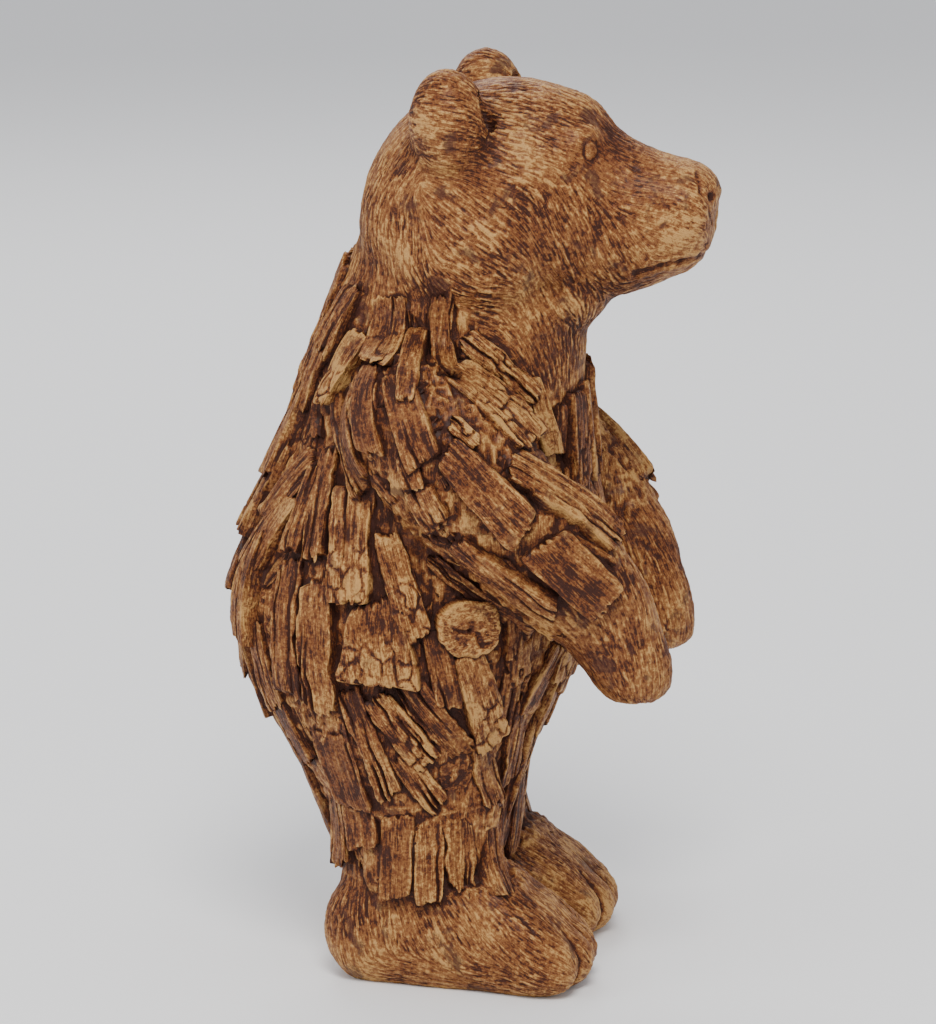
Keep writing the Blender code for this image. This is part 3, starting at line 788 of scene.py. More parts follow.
def cut_piece(mesh, name, planes, triangles):
    """A closed part of the mesh between planes, each a point and the direction that is cut away."""
    build = bmesh.new()
    build.from_mesh(mesh)
    for point, away in planes:
        bmesh.ops.bisect_plane(
            build, geom=[*build.verts, *build.edges, *build.faces],
            dist=1e-6, plane_co=point, plane_no=away, clear_outer=True,
        )
        rim = [edge for edge in build.edges if edge.is_boundary]
        bmesh.ops.holes_fill(build, edges=rim)
        for edge in rim:
            edge.smooth = False
    part = mesh_of(build, name)
    piece = linked(name, part)
    part.calc_loop_triangles()
    thin = piece.modifiers.new("thin", "DECIMATE")
    thin.ratio = min(1, triangles / len(part.loop_triangles))
    lean = evaluated_mesh(piece)
    lean.name = name
    piece.modifiers.clear()
    piece.data = lean
    bpy.data.meshes.remove(part)
    return piece


def chip_rest(surface, angle, height, lean):
    """How a chip lies on the surface: its middle, and the directions along it and out of it."""
    middle, _ = touch(surface, angle, height)
    facing = Vector()
    for turn, rise in SAMPLES:
        facing += touch(surface, angle + turn, height + rise)[1]
    facing.normalize()
    down = Vector((0, 0, -1))
    down = (down - facing * down.dot(facing)).normalized()
    lean = math.radians(lean)
    return middle, down * math.cos(lean) + facing.cross(down) * math.sin(lean), facing


def settled(surface, point, facing):
    """The surface under or over a point near it."""
    reach = 2 * CHIP_THICKNESS * UNIT
    found, _, _, _ = surface.ray_cast(point + facing * reach, -facing, 2 * reach)
    return found or point


def chip_seat(surface, numbers, stations, draw):
    """Where a chip lies: the places under it, its three directions and how askew its ends are."""
    angle, height, length, _, _, lean, _ = numbers
    middle, along, facing = chip_rest(surface, angle, height, lean)
    roll = math.radians(draw.uniform(-CHIP_ROLL, CHIP_ROLL))
    facing = Matrix.Rotation(roll, 3, along) @ facing
    skews = (draw.uniform(-CHIP_SKEW, CHIP_SKEW), draw.uniform(-CHIP_SKEW, CHIP_SKEW))
    places = []
    for station in range(stations):
        offset = (station / (stations - 1) - 0.5) * length * UNIT
        places.append(settled(surface, middle + along * offset, facing))
    return np.array(places), np.array(along), np.array(facing.cross(along)), np.array(facing), skews


def run_through(places, share):
    """The line through two or three places, bent smoothly, at shares of its length."""
    share = share[..., None]
    if len(places) == 2:
        return places[0] * (1 - share) + places[1] * share
    first = places[0] * (2 * share - 1) * (share - 1)
    return first + places[1] * 4 * share * (1 - share) + places[2] * share * (2 * share - 1)


def spaced(length, step):
    """Places from 0 to a length, closer together near its two ends."""
    near = np.array((0, 0.35, 0.85))
    count = max(2, round((length - 3) / step) + 1)
    return np.concatenate([near, np.linspace(1.5, length - 1.5, count), (length - near)[::-1]])


# What a chip looks like: how ragged its ends are, how deep its grain and its flats, how many splits, how
# rounded its corners, how much paler its lower half is, how uneven its sides and how much darker its heart
Look = namedtuple("Look", "ragged grain flats splits corner pale uneven heart")
LOOKS = {
    "plank": Look(ragged=1, grain=0.24, flats=0.6, splits=0, corner=0.12, pale=0, uneven=0.35, heart=0.35),
    "split": Look(ragged=2.6, grain=0.42, flats=1.2, splits=2, corner=0.06, pale=0.15, uneven=1, heart=0),
    "checked": Look(ragged=1.5, grain=0.25, flats=0.9, splits=0, corner=0.1, pale=0.75, uneven=0.6, heart=0),
    "wormy": Look(ragged=1.9, grain=0.3, flats=1, splits=1, corner=0.12, pale=0.3, uneven=0.9, heart=0),
}
CRACK_CELL = 7              # size of the cells that the drying cracks part a checked chip into
CRACK_STRETCH = 0.75        # under 1 the cells are longer along the grain
CRACK_WIDTH = 0.5
CRACK_DEPTH = 0.9
TRAIL_WIDTH = 0.11          # of a worm's trail, as a share of the noise that it follows
TRAIL_DEPTH = 1.2
FLATS = 5                   # how many tilted planes a split face is broken into
SPLINTER = 2.3              # width of the splinters that a broken end shows
ACROSS_STEP = 0.62          # the points across a chip are closer than those along it
SIDE_STEPS = (0.12, 0.35, 0.7, 1)       # how far down a chip's sides its points lie
CHIP_TOP = 0.95             # the worked chip's outer face is a little wider than the plain one's
RIM_TONE = 0.15             # how much paler a chip is along its rim
SIDE_TONE = 0.6             # how much darker it is at the foot of its sides


def crack_gap(along, across, seed):
    """How far each place on a face is from the net of drying cracks."""
    grid = np.stack([along, across], axis=-1) / CRACK_CELL
    cell = np.floor(grid).astype(np.int64)
    gaps = []
    for step in itertools.product((-1, 0, 1), repeat=2):
        corner = cell + np.array(step)
        rows = np.concatenate([corner, np.zeros((len(corner), 1), np.int64)], axis=1)
        spot = corner + 0.5 + 0.42 * np.stack([hashed(rows, seed), hashed(rows, seed + 1)], axis=-1)
        gaps.append(np.linalg.norm(grid - spot, axis=1))
    gaps = np.sort(np.array(gaps), axis=0)
    return (gaps[1] - gaps[0]) * CRACK_CELL / 2


def stepped(place, size, seed, straight):
    """Random heights for stretches of a line: level with short risers, or with straight slopes between."""
    grid = place / size
    cell = np.floor(grid).astype(np.int64)
    part = grid - cell
    if not straight:
        part = np.clip((part - 0.8) / 0.2, 0, 1)
    levels = []
    for row in (cell, cell + 1):
        rows = np.stack([row.ravel(), 0 * row.ravel(), 0 * row.ravel()], axis=-1)
        levels.append(hashed(rows, seed).reshape(place.shape))
    return levels[0] * (1 - part) + levels[1] * part


def flats(along, across, length, half, seed):
    """The flats of a face that split in several goes: the lowest of a few tilted planes."""
    draw = random.Random(seed)
    planes = []
    for _ in range(FLATS):
        start = draw.uniform(-0.5, 0.5) * length
        edge = draw.uniform(-0.7, 0.7) * half
        slopes = draw.uniform(-1.4, 1.4), draw.uniform(-1.1, 1.1)
        planes.append((along - start) / length * slopes[0] + (across - edge) / half * slopes[1])
    low = np.min(planes, axis=0)
    return low - low.mean()


def ridged(place, size, seed):
    """Noise with sharp crests, from -1 to 1."""
    return 1 - 2 * np.abs(noise(place, size, seed)) ** 0.7


def split_grooves(along, across, length, half, count, draw, seed):
    """The splits that run in from a chip's ends: each one's depth, and its groove from 0 to 1."""
    for _ in range(count + draw.randrange(2)):
        middle = draw.uniform(-0.75, 0.75) * half
        reach = draw.uniform(0.35, 0.9) * length
        from_top = draw.random() < 0.5
        width = draw.uniform(0.5, 1)
        depth = draw.uniform(1.2, 2.8)
        gap = np.abs(across - middle - 0.9 * stepped(along, 6, seed + 3, True)) / width
        run = (along + length / 2 if from_top else length / 2 - along) / reach
        yield depth, np.clip(1 - gap, 0, 1) * np.clip(1 - run, 0, 1) ** 0.6


def drying_cracks(along, across, place, seed):
    """The net of drying cracks on a face, from 0 to 1, before it fades."""
    bent_along = along + 1.6 * noise(place, 4, seed + 4)
    bent_across = across + 1.6 * noise(place, 4, seed + 5)
    gap = crack_gap(bent_along * CRACK_STRETCH, bent_across, seed)
    return np.exp(-((gap / CRACK_WIDTH) ** 2))


def worked_face(along, across, length, half, look, draw, seed):
    """A chip's outer face with its grain, flats, splits and cracks: its height, dark paint and tone."""
    kind = LOOKS[look]
    place = np.stack([along, across, np.full(len(along), seed * 7.3)], axis=-1)
    coarse = ridged(place, np.array((22, 2.4, 1)), seed)
    height = kind.grain * (coarse + 0.6 * noise(place, np.array((7, 0.8, 1)), seed + 1))
    height += np.clip(kind.flats * flats(along, across, length, half, seed), -1.6, 1)
    patches = noise(place, np.array((14, 9, 1)), seed + 14)
    stain = 0.55 * smoothstep(-0.1, 0.7, -coarse) * smoothstep(-0.5, 0.5, patches)
    for depth, groove in split_grooves(along, across, length, half, kind.splits, draw, seed):
        height -= depth * groove
        stain = np.maximum(stain, np.clip(groove * 1.8, 0, 1))
    low = smoothstep(-0.15 * length, 0.12 * length, along + 2.5 * noise(place, 4, seed + 13))
    tone = kind.pale * (low - 0.35)
    if look == "checked":
        held = smoothstep(-0.75, -0.1, noise(place, 7, seed + 12))
        crack = drying_cracks(along, across, place, seed) * low * held
        height -= CRACK_DEPTH * crack
        stain = np.maximum(stain * (1 - 0.6 * low), crack)
    if look == "wormy":
        trail = np.abs(noise(place, np.array((5.5, 3.4, 1)), seed + 6))
        trail = np.exp(-((trail / TRAIL_WIDTH) ** 2)) * smoothstep(-0.35 * length, 0, along)
        height -= TRAIL_DEPTH * trail
        stain = np.maximum(stain * 0.7, trail)
    return height, stain, tone


class Faces:
    """Points, faces and paint that are gathered into one mesh."""

    def __init__(self):
        self.count = 0
        self.points, self.quads, self.fans = [], [], []
        self.paint = {"stain": [], "tone": [], "grain": []}

    def add(self, points, quads, fans, **paint):
        solid = points - points.mean(axis=0)
        corners = solid[quads]
        volume = np.einsum("ij,ij->", np.cross(corners[:, 0], corners[:, 1]), corners[:, 2])
        if volume < 0:
            quads = quads[:, ::-1]
            fans = fans[:, ::-1]
        self.points.append(points)
        self.quads.append(quads + self.count)
        self.fans.append(fans + self.count)
        for name, values in paint.items():
            self.paint[name].append(values)
        self.count += len(points)

    def piece(self, name):
        points = np.concatenate(self.points)
        quads = np.concatenate(self.quads)
        fans = np.concatenate(self.fans)
        mesh = bpy.data.meshes.new(name)
        mesh.vertices.add(len(points))
        mesh.loops.add(quads.size + fans.size)
        mesh.polygons.add(len(quads) + len(fans))
        mesh.vertices.foreach_set("co", points.astype(np.float32).ravel())
        corners = np.concatenate([quads.ravel(), fans.ravel()])
        mesh.loops.foreach_set("vertex_index", corners.astype(np.int32))
        starts = np.concatenate([np.arange(len(quads)) * 4, quads.size + np.arange(len(fans)) * 3])
        mesh.polygons.foreach_set("loop_start", starts.astype(np.int32))
        mesh.update(calc_edges=True)
        mesh.validate()
        for paint, values in self.paint.items():
            put(mesh, paint, np.concatenate(values))
        return linked(name, mesh)


def tube_faces(rings, around):
    """The quads between neighbouring rings of a tube, then the fans over its two ends."""
    row = np.arange(rings - 1)[:, None] * around
    step = np.arange(around)[None]
    after = (step + 1) % around
    quads = np.stack([row + step, row + after, row + around + after, row + around + step], axis=-1)
    quads = quads.reshape(-1, 4)
    edge = np.arange(around)
    turned_edge = (edge + 1) % around
    last = (rings - 1) * around
    first_tip = np.full(around, rings * around)
    fans = np.concatenate([
        np.stack([turned_edge, edge, first_tip], axis=-1),
        np.stack([last + edge, last + turned_edge, first_tip + 1], axis=-1),
    ])
    return quads, fans


def capped(values):
    """Values on a chip's rings, repeated over the rings and the tips that close its two ends."""
    first, last = values[:1], values[-1:]
    rows = np.concatenate([first, first, values, last, last])
    rows = rows.reshape(-1, *values.shape[2:])
    return np.concatenate([rows, rows[:1], rows[-1:]])


def jagged_ends(turn, depth, widest, ragged, skews, seed):
    """How far a chip's two ends reach past their middle line: stepped splinters on an askew line."""
    line = turn * widest / 2 + depth * 1.3
    ends = []
    for end, skew in enumerate(skews):
        blunt = 0.8 * stepped(line, SPLINTER, seed + 7 + end, False)
        sharp = 0.5 * stepped(line, 0.43 * SPLINTER, seed + 9 + end, True)
        ends.append(ragged * (blunt + sharp) + skew * turn * widest / 2)
    return ends


def closed_ends(shell, core, along, seed):
    """A chip's rings with two more at each end, rough and closing in on its core, and the two tips."""
    rings = [shell]
    for end, index in ((0, 0), (1, -1)):
        caps = []
        for shrink in (0.3, 0.62):
            ring = shell[index] + (core[index] - shell[index]) * shrink
            push = (0.5 - end) * -0.8 * (1 - shrink) + 0.5 * noise(ring / UNIT, 1.5, seed + 12)
            caps.append(ring + along * (push * UNIT)[:, None])
        rings = [np.array(caps[::-1]), *rings] if end == 0 else [*rings, np.array(caps)]
    grid = np.concatenate(rings)
    return grid, np.array([grid[0].mean(axis=0), grid[-1].mean(axis=0)])


def add_chip(faces, seat, numbers, look, tone, draw, step, rise=None):
    """A split chip, worked all over, on the seat that the plain solid's chip has."""
    places, along, across, facing, skews = seat
    _, _, length, upper, lower, _, proud = numbers
    kind = LOOKS[look]
    seed = draw.randrange(1, 100000)
    widest = max(upper, lower)
    top = spaced(widest, step * ACROSS_STEP) / widest * 2 - 1
    sides = np.array(SIDE_STEPS)
    turn = np.concatenate([np.full(len(sides), -1.0), top, np.full(len(sides), 1.0)])
    depth = np.concatenate([sides[::-1], np.zeros(len(top)), sides])
    share = spaced(length, step) / length
    half_here = (upper + (lower - upper) * share)[:, None] / 2
    first, last = jagged_ends(turn, depth, widest, kind.ragged, skews, seed)
    spread = share[:, None] + (first * (1 - share[:, None]) ** 2 + last * share[:, None] ** 2) / length
    run = (spread - 0.5) * length

    end_gap = np.minimum(share, 1 - share)[:, None] * length
    rounding = 1 - kind.corner * np.exp(-end_gap / 1.6)
    edge = run + (np.sign(turn) * 500 + 600)
    sway = 1.3 * stepped(edge, 7.5, seed + 10, True) + 0.5 * stepped(edge, 2.6, seed + 15, True)
    width = CHIP_TOP + (1 - CHIP_TOP) * depth
    offset = turn * (half_here * rounding * width + kind.uneven * np.clip(sway, -1.5, 0.7))

    outer = CHIP_RISE + CHIP_LIFT * (2 * share - 1) + proud * (1 + share) / 2
    if rise is not None:
        outer = rise + 0 * share
    face, stain, tint = worked_face(run.ravel(), offset.ravel(), length, widest / 2, look, draw, seed)
    face = face.reshape(run.shape) * (1 - depth) ** 2
    edge_gap = (1 - np.abs(turn)) * widest / 2
    bevel = 0.4 * np.exp(-edge_gap / 0.5) + 0.4 * np.exp(-end_gap / 0.6)
    thickness = CHIP_THICKNESS + proud
    height = outer[:, None] + face - bevel - depth * thickness
    side = np.sign(turn) * 20 + depth * 9 + 0 * run
    bite = np.stack([run.ravel(), side.ravel(), np.zeros(run.size)], axis=-1)
    bite = ridged(bite, np.array((9, 1.3, 1)), seed + 11).reshape(run.shape) * (depth > 0) * 0.5
    offset = offset + np.sign(turn) * bite

    shell = run_through(places, spread) + across * (offset * UNIT)[..., None]
    shell = shell + facing * (height * UNIT)[..., None]
    core = run_through(places, share)[:, None] + facing * ((outer - thickness * 0.45) * UNIT)[:, None, None]
    grid, tips = closed_ends(shell, core, along, seed)
    points = np.concatenate([grid.reshape(-1, 3), tips])
    quads, fans = tube_faces(len(grid), len(turn))
    stain = stain.reshape(run.shape) * (depth < 0.5)
    rim = np.exp(-edge_gap / 1.1) + 0.7 * np.exp(-end_gap / 1.6)
    worn = noise(np.stack([run.ravel(), offset.ravel(), 0 * run.ravel()], axis=-1), 9, seed + 16)
    worn = worn.reshape(run.shape)
    shown_tone = tone + tint.reshape(run.shape) + RIM_TONE * (rim - 0.35) * (1 + worn)
    shown_tone = shown_tone - SIDE_TONE * depth + 0.5 * worn
    shown_tone += kind.heart * (0.45 - (1 - turn ** 4) * np.clip(end_gap / 6, 0, 1)) * (depth == 0)
    grain = np.stack([run, offset, height], axis=-1)
    stain, shown_tone, grain = (capped(values) for values in (stain, shown_tone, grain))
    grain = (grain + draw.uniform(0, 900)) * UNIT
    faces.add(points, quads, fans, stain=stain, tone=shown_tone, grain=grain)


KNOT_RINGS = 20
KNOT_AROUND = 80
KNOT_CRACK_DEPTH = 1.1


def add_knot(faces, surface, numbers, cracks, tone, draw):
    """The sawn end of a branch: an uneven disc with growth rings, a dark heart and drying cracks."""
    angle, height, diameter, proud = numbers
    middle, along, facing = chip_rest(surface, angle, height, 0)
    across = facing.cross(along)
    seed = draw.randrange(1, 100000)
    turn = np.linspace(0, math.tau, KNOT_AROUND, endpoint=False)
    out = np.concatenate([np.linspace(0.04, 1, KNOT_RINGS), np.full(4, 1.0)])
    drop = np.concatenate([np.zeros(KNOT_RINGS), np.array((0.15, 0.4, 0.7, 1))])
    ways = np.stack([np.cos(turn), np.sin(turn), 0 * turn], axis=-1)
    wobble = 1 + 0.18 * noise(ways, 0.75, seed) + 0.07 * noise(ways, 0.22, seed + 4)
    radius = out[:, None] * wobble * diameter / 2
    aside, upward = radius * np.cos(turn), radius * np.sin(turn)
    flat = np.stack([aside.ravel(), upward.ravel(), np.zeros(radius.size)], axis=-1)
    lumps = noise(flat, 5, seed + 1) + 0.5 * noise(flat, 1.6, seed + 2)
    tilt = flat @ np.array((draw.uniform(-0.06, 0.06), draw.uniform(-0.06, 0.06), 0))
    rings = 0.12 * np.sin(out * 30) * (drop == 0)
    rise = (CHIP_RISE + proud - 0.5 * smoothstep(0.9, 1, out) + rings - drop * CHIP_THICKNESS)[:, None]
    rise = rise + (0.45 * lumps + tilt).reshape(radius.shape)
    heart = np.linalg.norm(flat[:, :2] - np.array((-0.06, 0.04)) * diameter, axis=1) / diameter
    stain = 0.75 * smoothstep(0.3, 0.1, heart + 0.11 * noise(flat, 4, seed + 5)).reshape(radius.shape)
    stain = np.maximum(stain, 0.2 * smoothstep(0.2, 1, np.sin(out * 30))[:, None])
    out_from_heart = radius.ravel()
    for number, (spoke, reach, wide) in enumerate(cracks):
        place = np.stack([out_from_heart, 0 * out_from_heart + number * 9, 0 * out_from_heart], axis=-1)
        bend = noise(place, 4, seed + 3).reshape(radius.shape)
        way = (turn - spoke + math.pi) % math.tau - math.pi
        gap = np.abs(way * radius + 1.7 * bend)
        crack = np.exp(-((gap / wide) ** 2)) * smoothstep(1, 0.7, radius / (reach * diameter / 2))
        rise = rise - KNOT_CRACK_DEPTH * crack
        stain = np.maximum(stain, np.clip(crack * 1.3, 0, 1))
    disc = np.array(middle) + np.array(across) * (aside * UNIT)[..., None]
    disc = disc + np.array(along) * (upward * UNIT)[..., None]
    disc = disc + np.array(facing) * (rise * UNIT)[..., None]
    tips = np.array([disc[0].mean(axis=0), disc[-1].mean(axis=0)])
    points = np.concatenate([disc.reshape(-1, 3), tips])
    quads, fans = tube_faces(len(disc), KNOT_AROUND)
    shown_tone = (tone - SIDE_TONE * drop + 0.3 * smoothstep(0.8, 1, out) * (drop == 0))[:, None] + 0 * radius
    grain = np.concatenate([flat, np.zeros((2, 3))]) * (6, 1, 1) + draw.uniform(0, 900)
    stain = np.append(stain.ravel(), (1, 0))
    shown_tone = np.append(shown_tone.ravel(), (tone, 0))
    faces.add(points, quads, fans, stain=stain, tone=shown_tone, grain=grain * UNIT)


def plain(chip):
    """A shown chip's numbers without its tone and look."""
    return chip[:7]


def turned_over(numbers, draw):
    """A chip's numbers on the other side of the body, with some play."""
    angle, height, length, upper, lower, lean, proud = numbers
    turn, rise, tilt = MATCH_PLAY
    return (
        draw.uniform(-turn, turn) - angle, height + draw.uniform(-rise, rise),
        length * draw.uniform(*MATCH_LENGTHS),
        lower if draw.random() < SWAP_CHANCE else upper, upper if draw.random() < SWAP_CHANCE else lower,
        draw.uniform(-tilt, tilt) - lean, proud / 2,
    )


def course_chips(courses, draw):
    """The numbers of chips set side by side round the body."""
    turn, rise, tilt = COURSE_PLAY
    chips = []
    for height, first, last, count in courses:
        for index in range(count):
            angle = first + (last - first) * (index + 0.5) / count
            chips.append((
                angle + draw.uniform(-turn, turn), height + draw.uniform(-rise, rise),
                COURSE_LENGTH * draw.uniform(*COURSE_LENGTHS),
                COURSE_WIDTH * draw.uniform(*COURSE_UPPER_WIDTHS),
                COURSE_WIDTH * draw.uniform(*COURSE_LOWER_WIDTHS),
                draw.uniform(-tilt, tilt), draw.uniform(0, COURSE_PROUD),
            ))
    return chips


# The slivers and the crumbs: where they lie, their sizes, how much their lean varies, their tones and how
# far they stand out. The low slivers lie on the thighs and ankles, and LOW_SLIVERS is their share.
LOW_SLIVERS = 0.3
LOW_HEIGHTS = (44, 120)
SLIVER_HEIGHTS = (52, 285)
SLIVER_LENGTHS = (9, 24)
SLIVER_UPPER_WIDTHS = (3, 8)
SLIVER_LOWER_WIDTHS = (3, 9)
SLIVER_LEAN = 9
SLIVER_TONES = (-0.9, 0.2)
SLIVER_RISES = (0.2, 1.9)
SLIVER_STEP = 1.8
CRUMB_ANGLES = (25, 160)
CRUMB_HEIGHTS = (52, 280)
CRUMB_LENGTHS = (5, 11)
CRUMB_WIDTHS = (3, 6)
CRUMB_LEAN = 60
CRUMB_TONES = (-0.9, 0.5)
CRUMB_RISES = (0.3, 1.5)
CRUMB_STEP = 1.4


def widened(chip):
    """A shown chip's numbers; those of the cuff are wider than on the plain solid and nearly touch."""
    angle, height, length, upper, lower, lean, proud = plain(chip)
    spread = CUFF_SPREAD if chip in CUFF_CHIPS else 1
    return angle, height, length, upper * spread, lower * spread, lean, proud


def clad(chips):
    """The chips, knots and slivers in six groups, drawn and seated in the plain solid's order."""
    surface = coarse_core()[1]
    trunk = tree_of(torso())
    draw = random.Random(CHIP_SEED)
    work = random.Random(CHIP_SEED + 1)
    groups = {name: Faces() for name in CHIP_PIECES}
    fine, rough = chips.shown_step / UNIT, chips.plain_step / UNIT
    shown = [
        *((chip, "shoulder_and_arm") for chip in (*SHOULDER_CHIPS, *ARM_CHIPS)),
        *((chip, "flank") for chip in (*FLANK_CHIPS, *CUFF_CHIPS)),
    ]
    laid = []
    for chip, place in shown:
        *_, tone, look = chip
        seat = chip_seat(surface, plain(chip), 3, draw)
        add_chip(groups[f"right_{place}_chips"], seat, widened(chip), look, tone, work, fine)
        laid.append(plain(chip))
    for chip, place in shown:
        *_, tone, look = chip
        if chip[2] > SHORTEST_MATCHED:
            numbers = turned_over(plain(chip), draw)
            seat = chip_seat(surface, numbers, 3, draw)
            left_tone = tone + work.uniform(-0.4, 0.3)
            add_chip(groups[f"left_{place}_chips"], seat, numbers, look, left_tone, work, rough)
            laid.append(numbers)
    for courses, ground, name in (
        (SPINE_COURSES, surface, "back_chips"),
        (BELLY_COURSES, trunk, "belly_chips"),
    ):
        for numbers in course_chips(courses, draw):
            seat = chip_seat(ground, numbers, 2, draw)
            look = work.choice(("plank", "split", "split", "checked", "wormy"))
            add_chip(groups[name], seat, numbers, look, work.uniform(-0.5, 0.6), work, rough)
            laid.append(numbers)
    for chip in GROIN_CHIPS:
        *_, tone, look = chip
        seat = chip_seat(trunk, plain(chip), 2, draw)
        add_chip(groups["right_flank_chips"], seat, plain(chip), look, tone, work, fine)
        numbers = turned_over(plain(chip), draw)
        seat = chip_seat(trunk, numbers, 2, draw)
        add_chip(groups["left_flank_chips"], seat, numbers, look, tone, work, rough)
    for (angle, *sizes), tone, cracks in zip(KNOTS, KNOT_TONES, KNOT_CRACKS):
        for side, name in ((1, "right_flank_chips"), (-1, "left_flank_chips")):
            add_knot(groups[name], surface, (side * angle, *sizes), cracks, tone, work)
    add_slivers(groups, surface, laid, chips.slivers, work)
    add_crumbs(groups, surface, chips.crumbs, work)
    return [faces.piece(name) for name, faces in groups.items()]


def apart(chip, angle, height):
    """How far a chip lies from a place on the body, with a degree round it counted as a unit."""
    return math.hypot((chip[0] - angle + 180) % 360 - 180, (chip[1] - height) * 1.3)


def covered(place, most):
    """Whether a place is off the body, or furred by more than this share."""
    return place is None or fur_cover(np.array([place]))[0] > most


def sliver_piece(angle, height):
    """The name of the piece that a sliver is part of."""
    if abs(angle) < 28:
        return "belly_chips"
    if abs(angle) > 155:
        return "back_chips"
    side = "left" if angle < 0 else "right"
    region = "shoulder_and_arm" if height > 200 else "flank"
    return f"{side}_{region}_chips"


def add_slivers(groups, surface, laid, count, draw):
    """Thin splinters all over the clad body, lying as the nearest chip does; they show between the chips."""
    for _ in range(count):
        angle = draw.uniform(-180, 180)
        height = draw.uniform(*(LOW_HEIGHTS if draw.random() < LOW_SLIVERS else SLIVER_HEIGHTS))
        near = min(laid, key=lambda chip: apart(chip, angle, height))
        numbers = (
            angle, height, draw.uniform(*SLIVER_LENGTHS),
            draw.uniform(*SLIVER_UPPER_WIDTHS), draw.uniform(*SLIVER_LOWER_WIDTHS),
            near[5] + draw.gauss(0, SLIVER_LEAN), 0,
        )
        place, _ = touch(surface, angle, height)
        if covered(place, 0.4):
            continue
        seat = chip_seat(surface, numbers, 3, draw)
        tone, rise = draw.uniform(*SLIVER_TONES), draw.uniform(*SLIVER_RISES)
        faces = groups[sliver_piece(angle, height)]
        add_chip(faces, seat, numbers, "split", tone, draw, SLIVER_STEP, rise)


def add_crumbs(groups, surface, count, draw):
    """Small broken bits at every angle on the right side, in the gaps that the chips leave."""
    for _ in range(count):
        angle, height = draw.uniform(*CRUMB_ANGLES), draw.uniform(*CRUMB_HEIGHTS)
        place, _ = touch(surface, angle, height)
        if covered(place, 0.3):
            continue
        numbers = (
            angle, height, draw.uniform(*CRUMB_LENGTHS),
            draw.uniform(*CRUMB_WIDTHS), draw.uniform(*CRUMB_WIDTHS),
            draw.uniform(-CRUMB_LEAN, CRUMB_LEAN), 0,
        )
        seat = chip_seat(surface, numbers, 2, draw)
        tone, rise = draw.uniform(*CRUMB_TONES), draw.uniform(*CRUMB_RISES)
        faces = groups["right_shoulder_and_arm_chips" if height > 190 else "right_flank_chips"]
        add_chip(faces, seat, numbers, "wormy", tone, draw, CRUMB_STEP, rise)


CHIP_PIECES = (
    "right_shoulder_and_arm_chips", "right_flank_chips", "left_shoulder_and_arm_chips", "left_flank_chips",
    "back_chips", "belly_chips",
)
CORE_PIECES = ("furred_head", "trunk_and_arms", "furred_feet")


@functools.cache
def coarse_core():
    """The unworked core and its search tree, made once."""
    mesh = core_mesh()
    return mesh, tree_of(mesh)


def edge_ends(mesh):
    ends = np.empty(len(mesh.edges) * 2, np.int32)
    mesh.edges.foreach_get("vertices", ends)
    return ends.reshape(-1, 2)


def evened(values, ends, passes):
    """Values averaged with their neighbours', a number of times over."""
    count = len(values)
    both = np.concatenate([ends[:, 0], ends[:, 1]])
    other = np.concatenate([ends[:, 1], ends[:, 0]])
    degree = np.maximum(np.bincount(both, minlength=count), 1)
    for _ in range(passes):
        if values.ndim == 1:
            values = np.bincount(both, weights=values[other], minlength=count) / degree
        else:
            values = np.stack([
                np.bincount(both, weights=values[other, axis], minlength=count) / degree for axis in range(3)
            ], axis=-1)
    return values


CREASE = math.radians(38)   # chips show a crisp edge where their faces meet at more than this
RELIEF_REACH = 8            # smoothing passes that the relief is measured against
RELIEF_SPAN = 0.35          # height above the smoothed face that counts as a full ridge
# Rays that measure how open the surface is, for painted shade
SHADE_REACH = 13
SHADE_LIFT = 0.4
SHADE_TILTS = ((0, 0), (62, 15), (62, 87), (62, 159), (62, 231), (62, 303))


def open_shares(points, facings, tree):
    """How open each point lies: how far short rays get before they meet the bear, for painted shade."""
    helper = np.where(np.abs(facings[:, 2:3]) < 0.9, (0.0, 0.0, 1.0), (1.0, 0.0, 0.0))
    side = np.cross(facings, helper)
    side /= np.linalg.norm(side, axis=1)[:, None]
    up = np.cross(facings, side)
    reach = SHADE_REACH * UNIT
    starts = (points + facings * (SHADE_LIFT * UNIT)).tolist()
    total = np.zeros(len(points))
    for tilt, turn in SHADE_TILTS:
        tilt, turn = math.radians(tilt), math.radians(turn)
        ways = facings * math.cos(tilt) + (side * math.cos(turn) + up * math.sin(turn)) * math.sin(tilt)
        gaps = [tree.ray_cast(start, way, reach)[3] for start, way in zip(starts, ways.tolist())]
        total += np.array([reach if gap is None else gap for gap in gaps]) / reach
    return total / len(SHADE_TILTS)


def measure_relief_and_shade(pieces):
    """Stores on each piece how raised and how open its surface is, for the paint; the openness becomes painted
    shade.
    """
    whole = bmesh.new()
    for piece in pieces:
        whole.from_mesh(piece.data)
    tree = BVHTree.FromBMesh(whole)
    whole.free()
    for piece in pieces:
        mesh = piece.data
        points, facings = positions(mesh), normals(mesh)
        ends = edge_ends(mesh)
        raised = ((points - evened(points, ends, RELIEF_REACH)) * facings).sum(axis=1)
        put(mesh, "relief", np.clip(raised / (RELIEF_SPAN * UNIT), -1, 1))
        put(mesh, "shade", evened(open_shares(points, facings, tree), ends, 1))


def inside_box(mesh):
    """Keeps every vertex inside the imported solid's box."""
    points = positions(mesh)
    points = np.clip(points, np.array(LOW), np.array(HIGH))
    set_positions(mesh, points)


def node(tree, kind, inputs=(), **settings):
    """A node with its settings, and with values or other nodes' outputs on its inputs."""
    made = tree.nodes.new(kind)
    for name, value in settings.items():
        setattr(made, name, value)
    for key, value in dict(inputs).items():
        if isinstance(value, bpy.types.NodeSocket):
            tree.links.new(value, made.inputs[key])
        else:
            made.inputs[key].default_value = value
    return made


def maths(tree, operation, *values, clamp=False):
    inputs = dict(enumerate(values))
    return node(tree, "ShaderNodeMath", inputs, operation=operation, use_clamp=clamp).outputs[0]


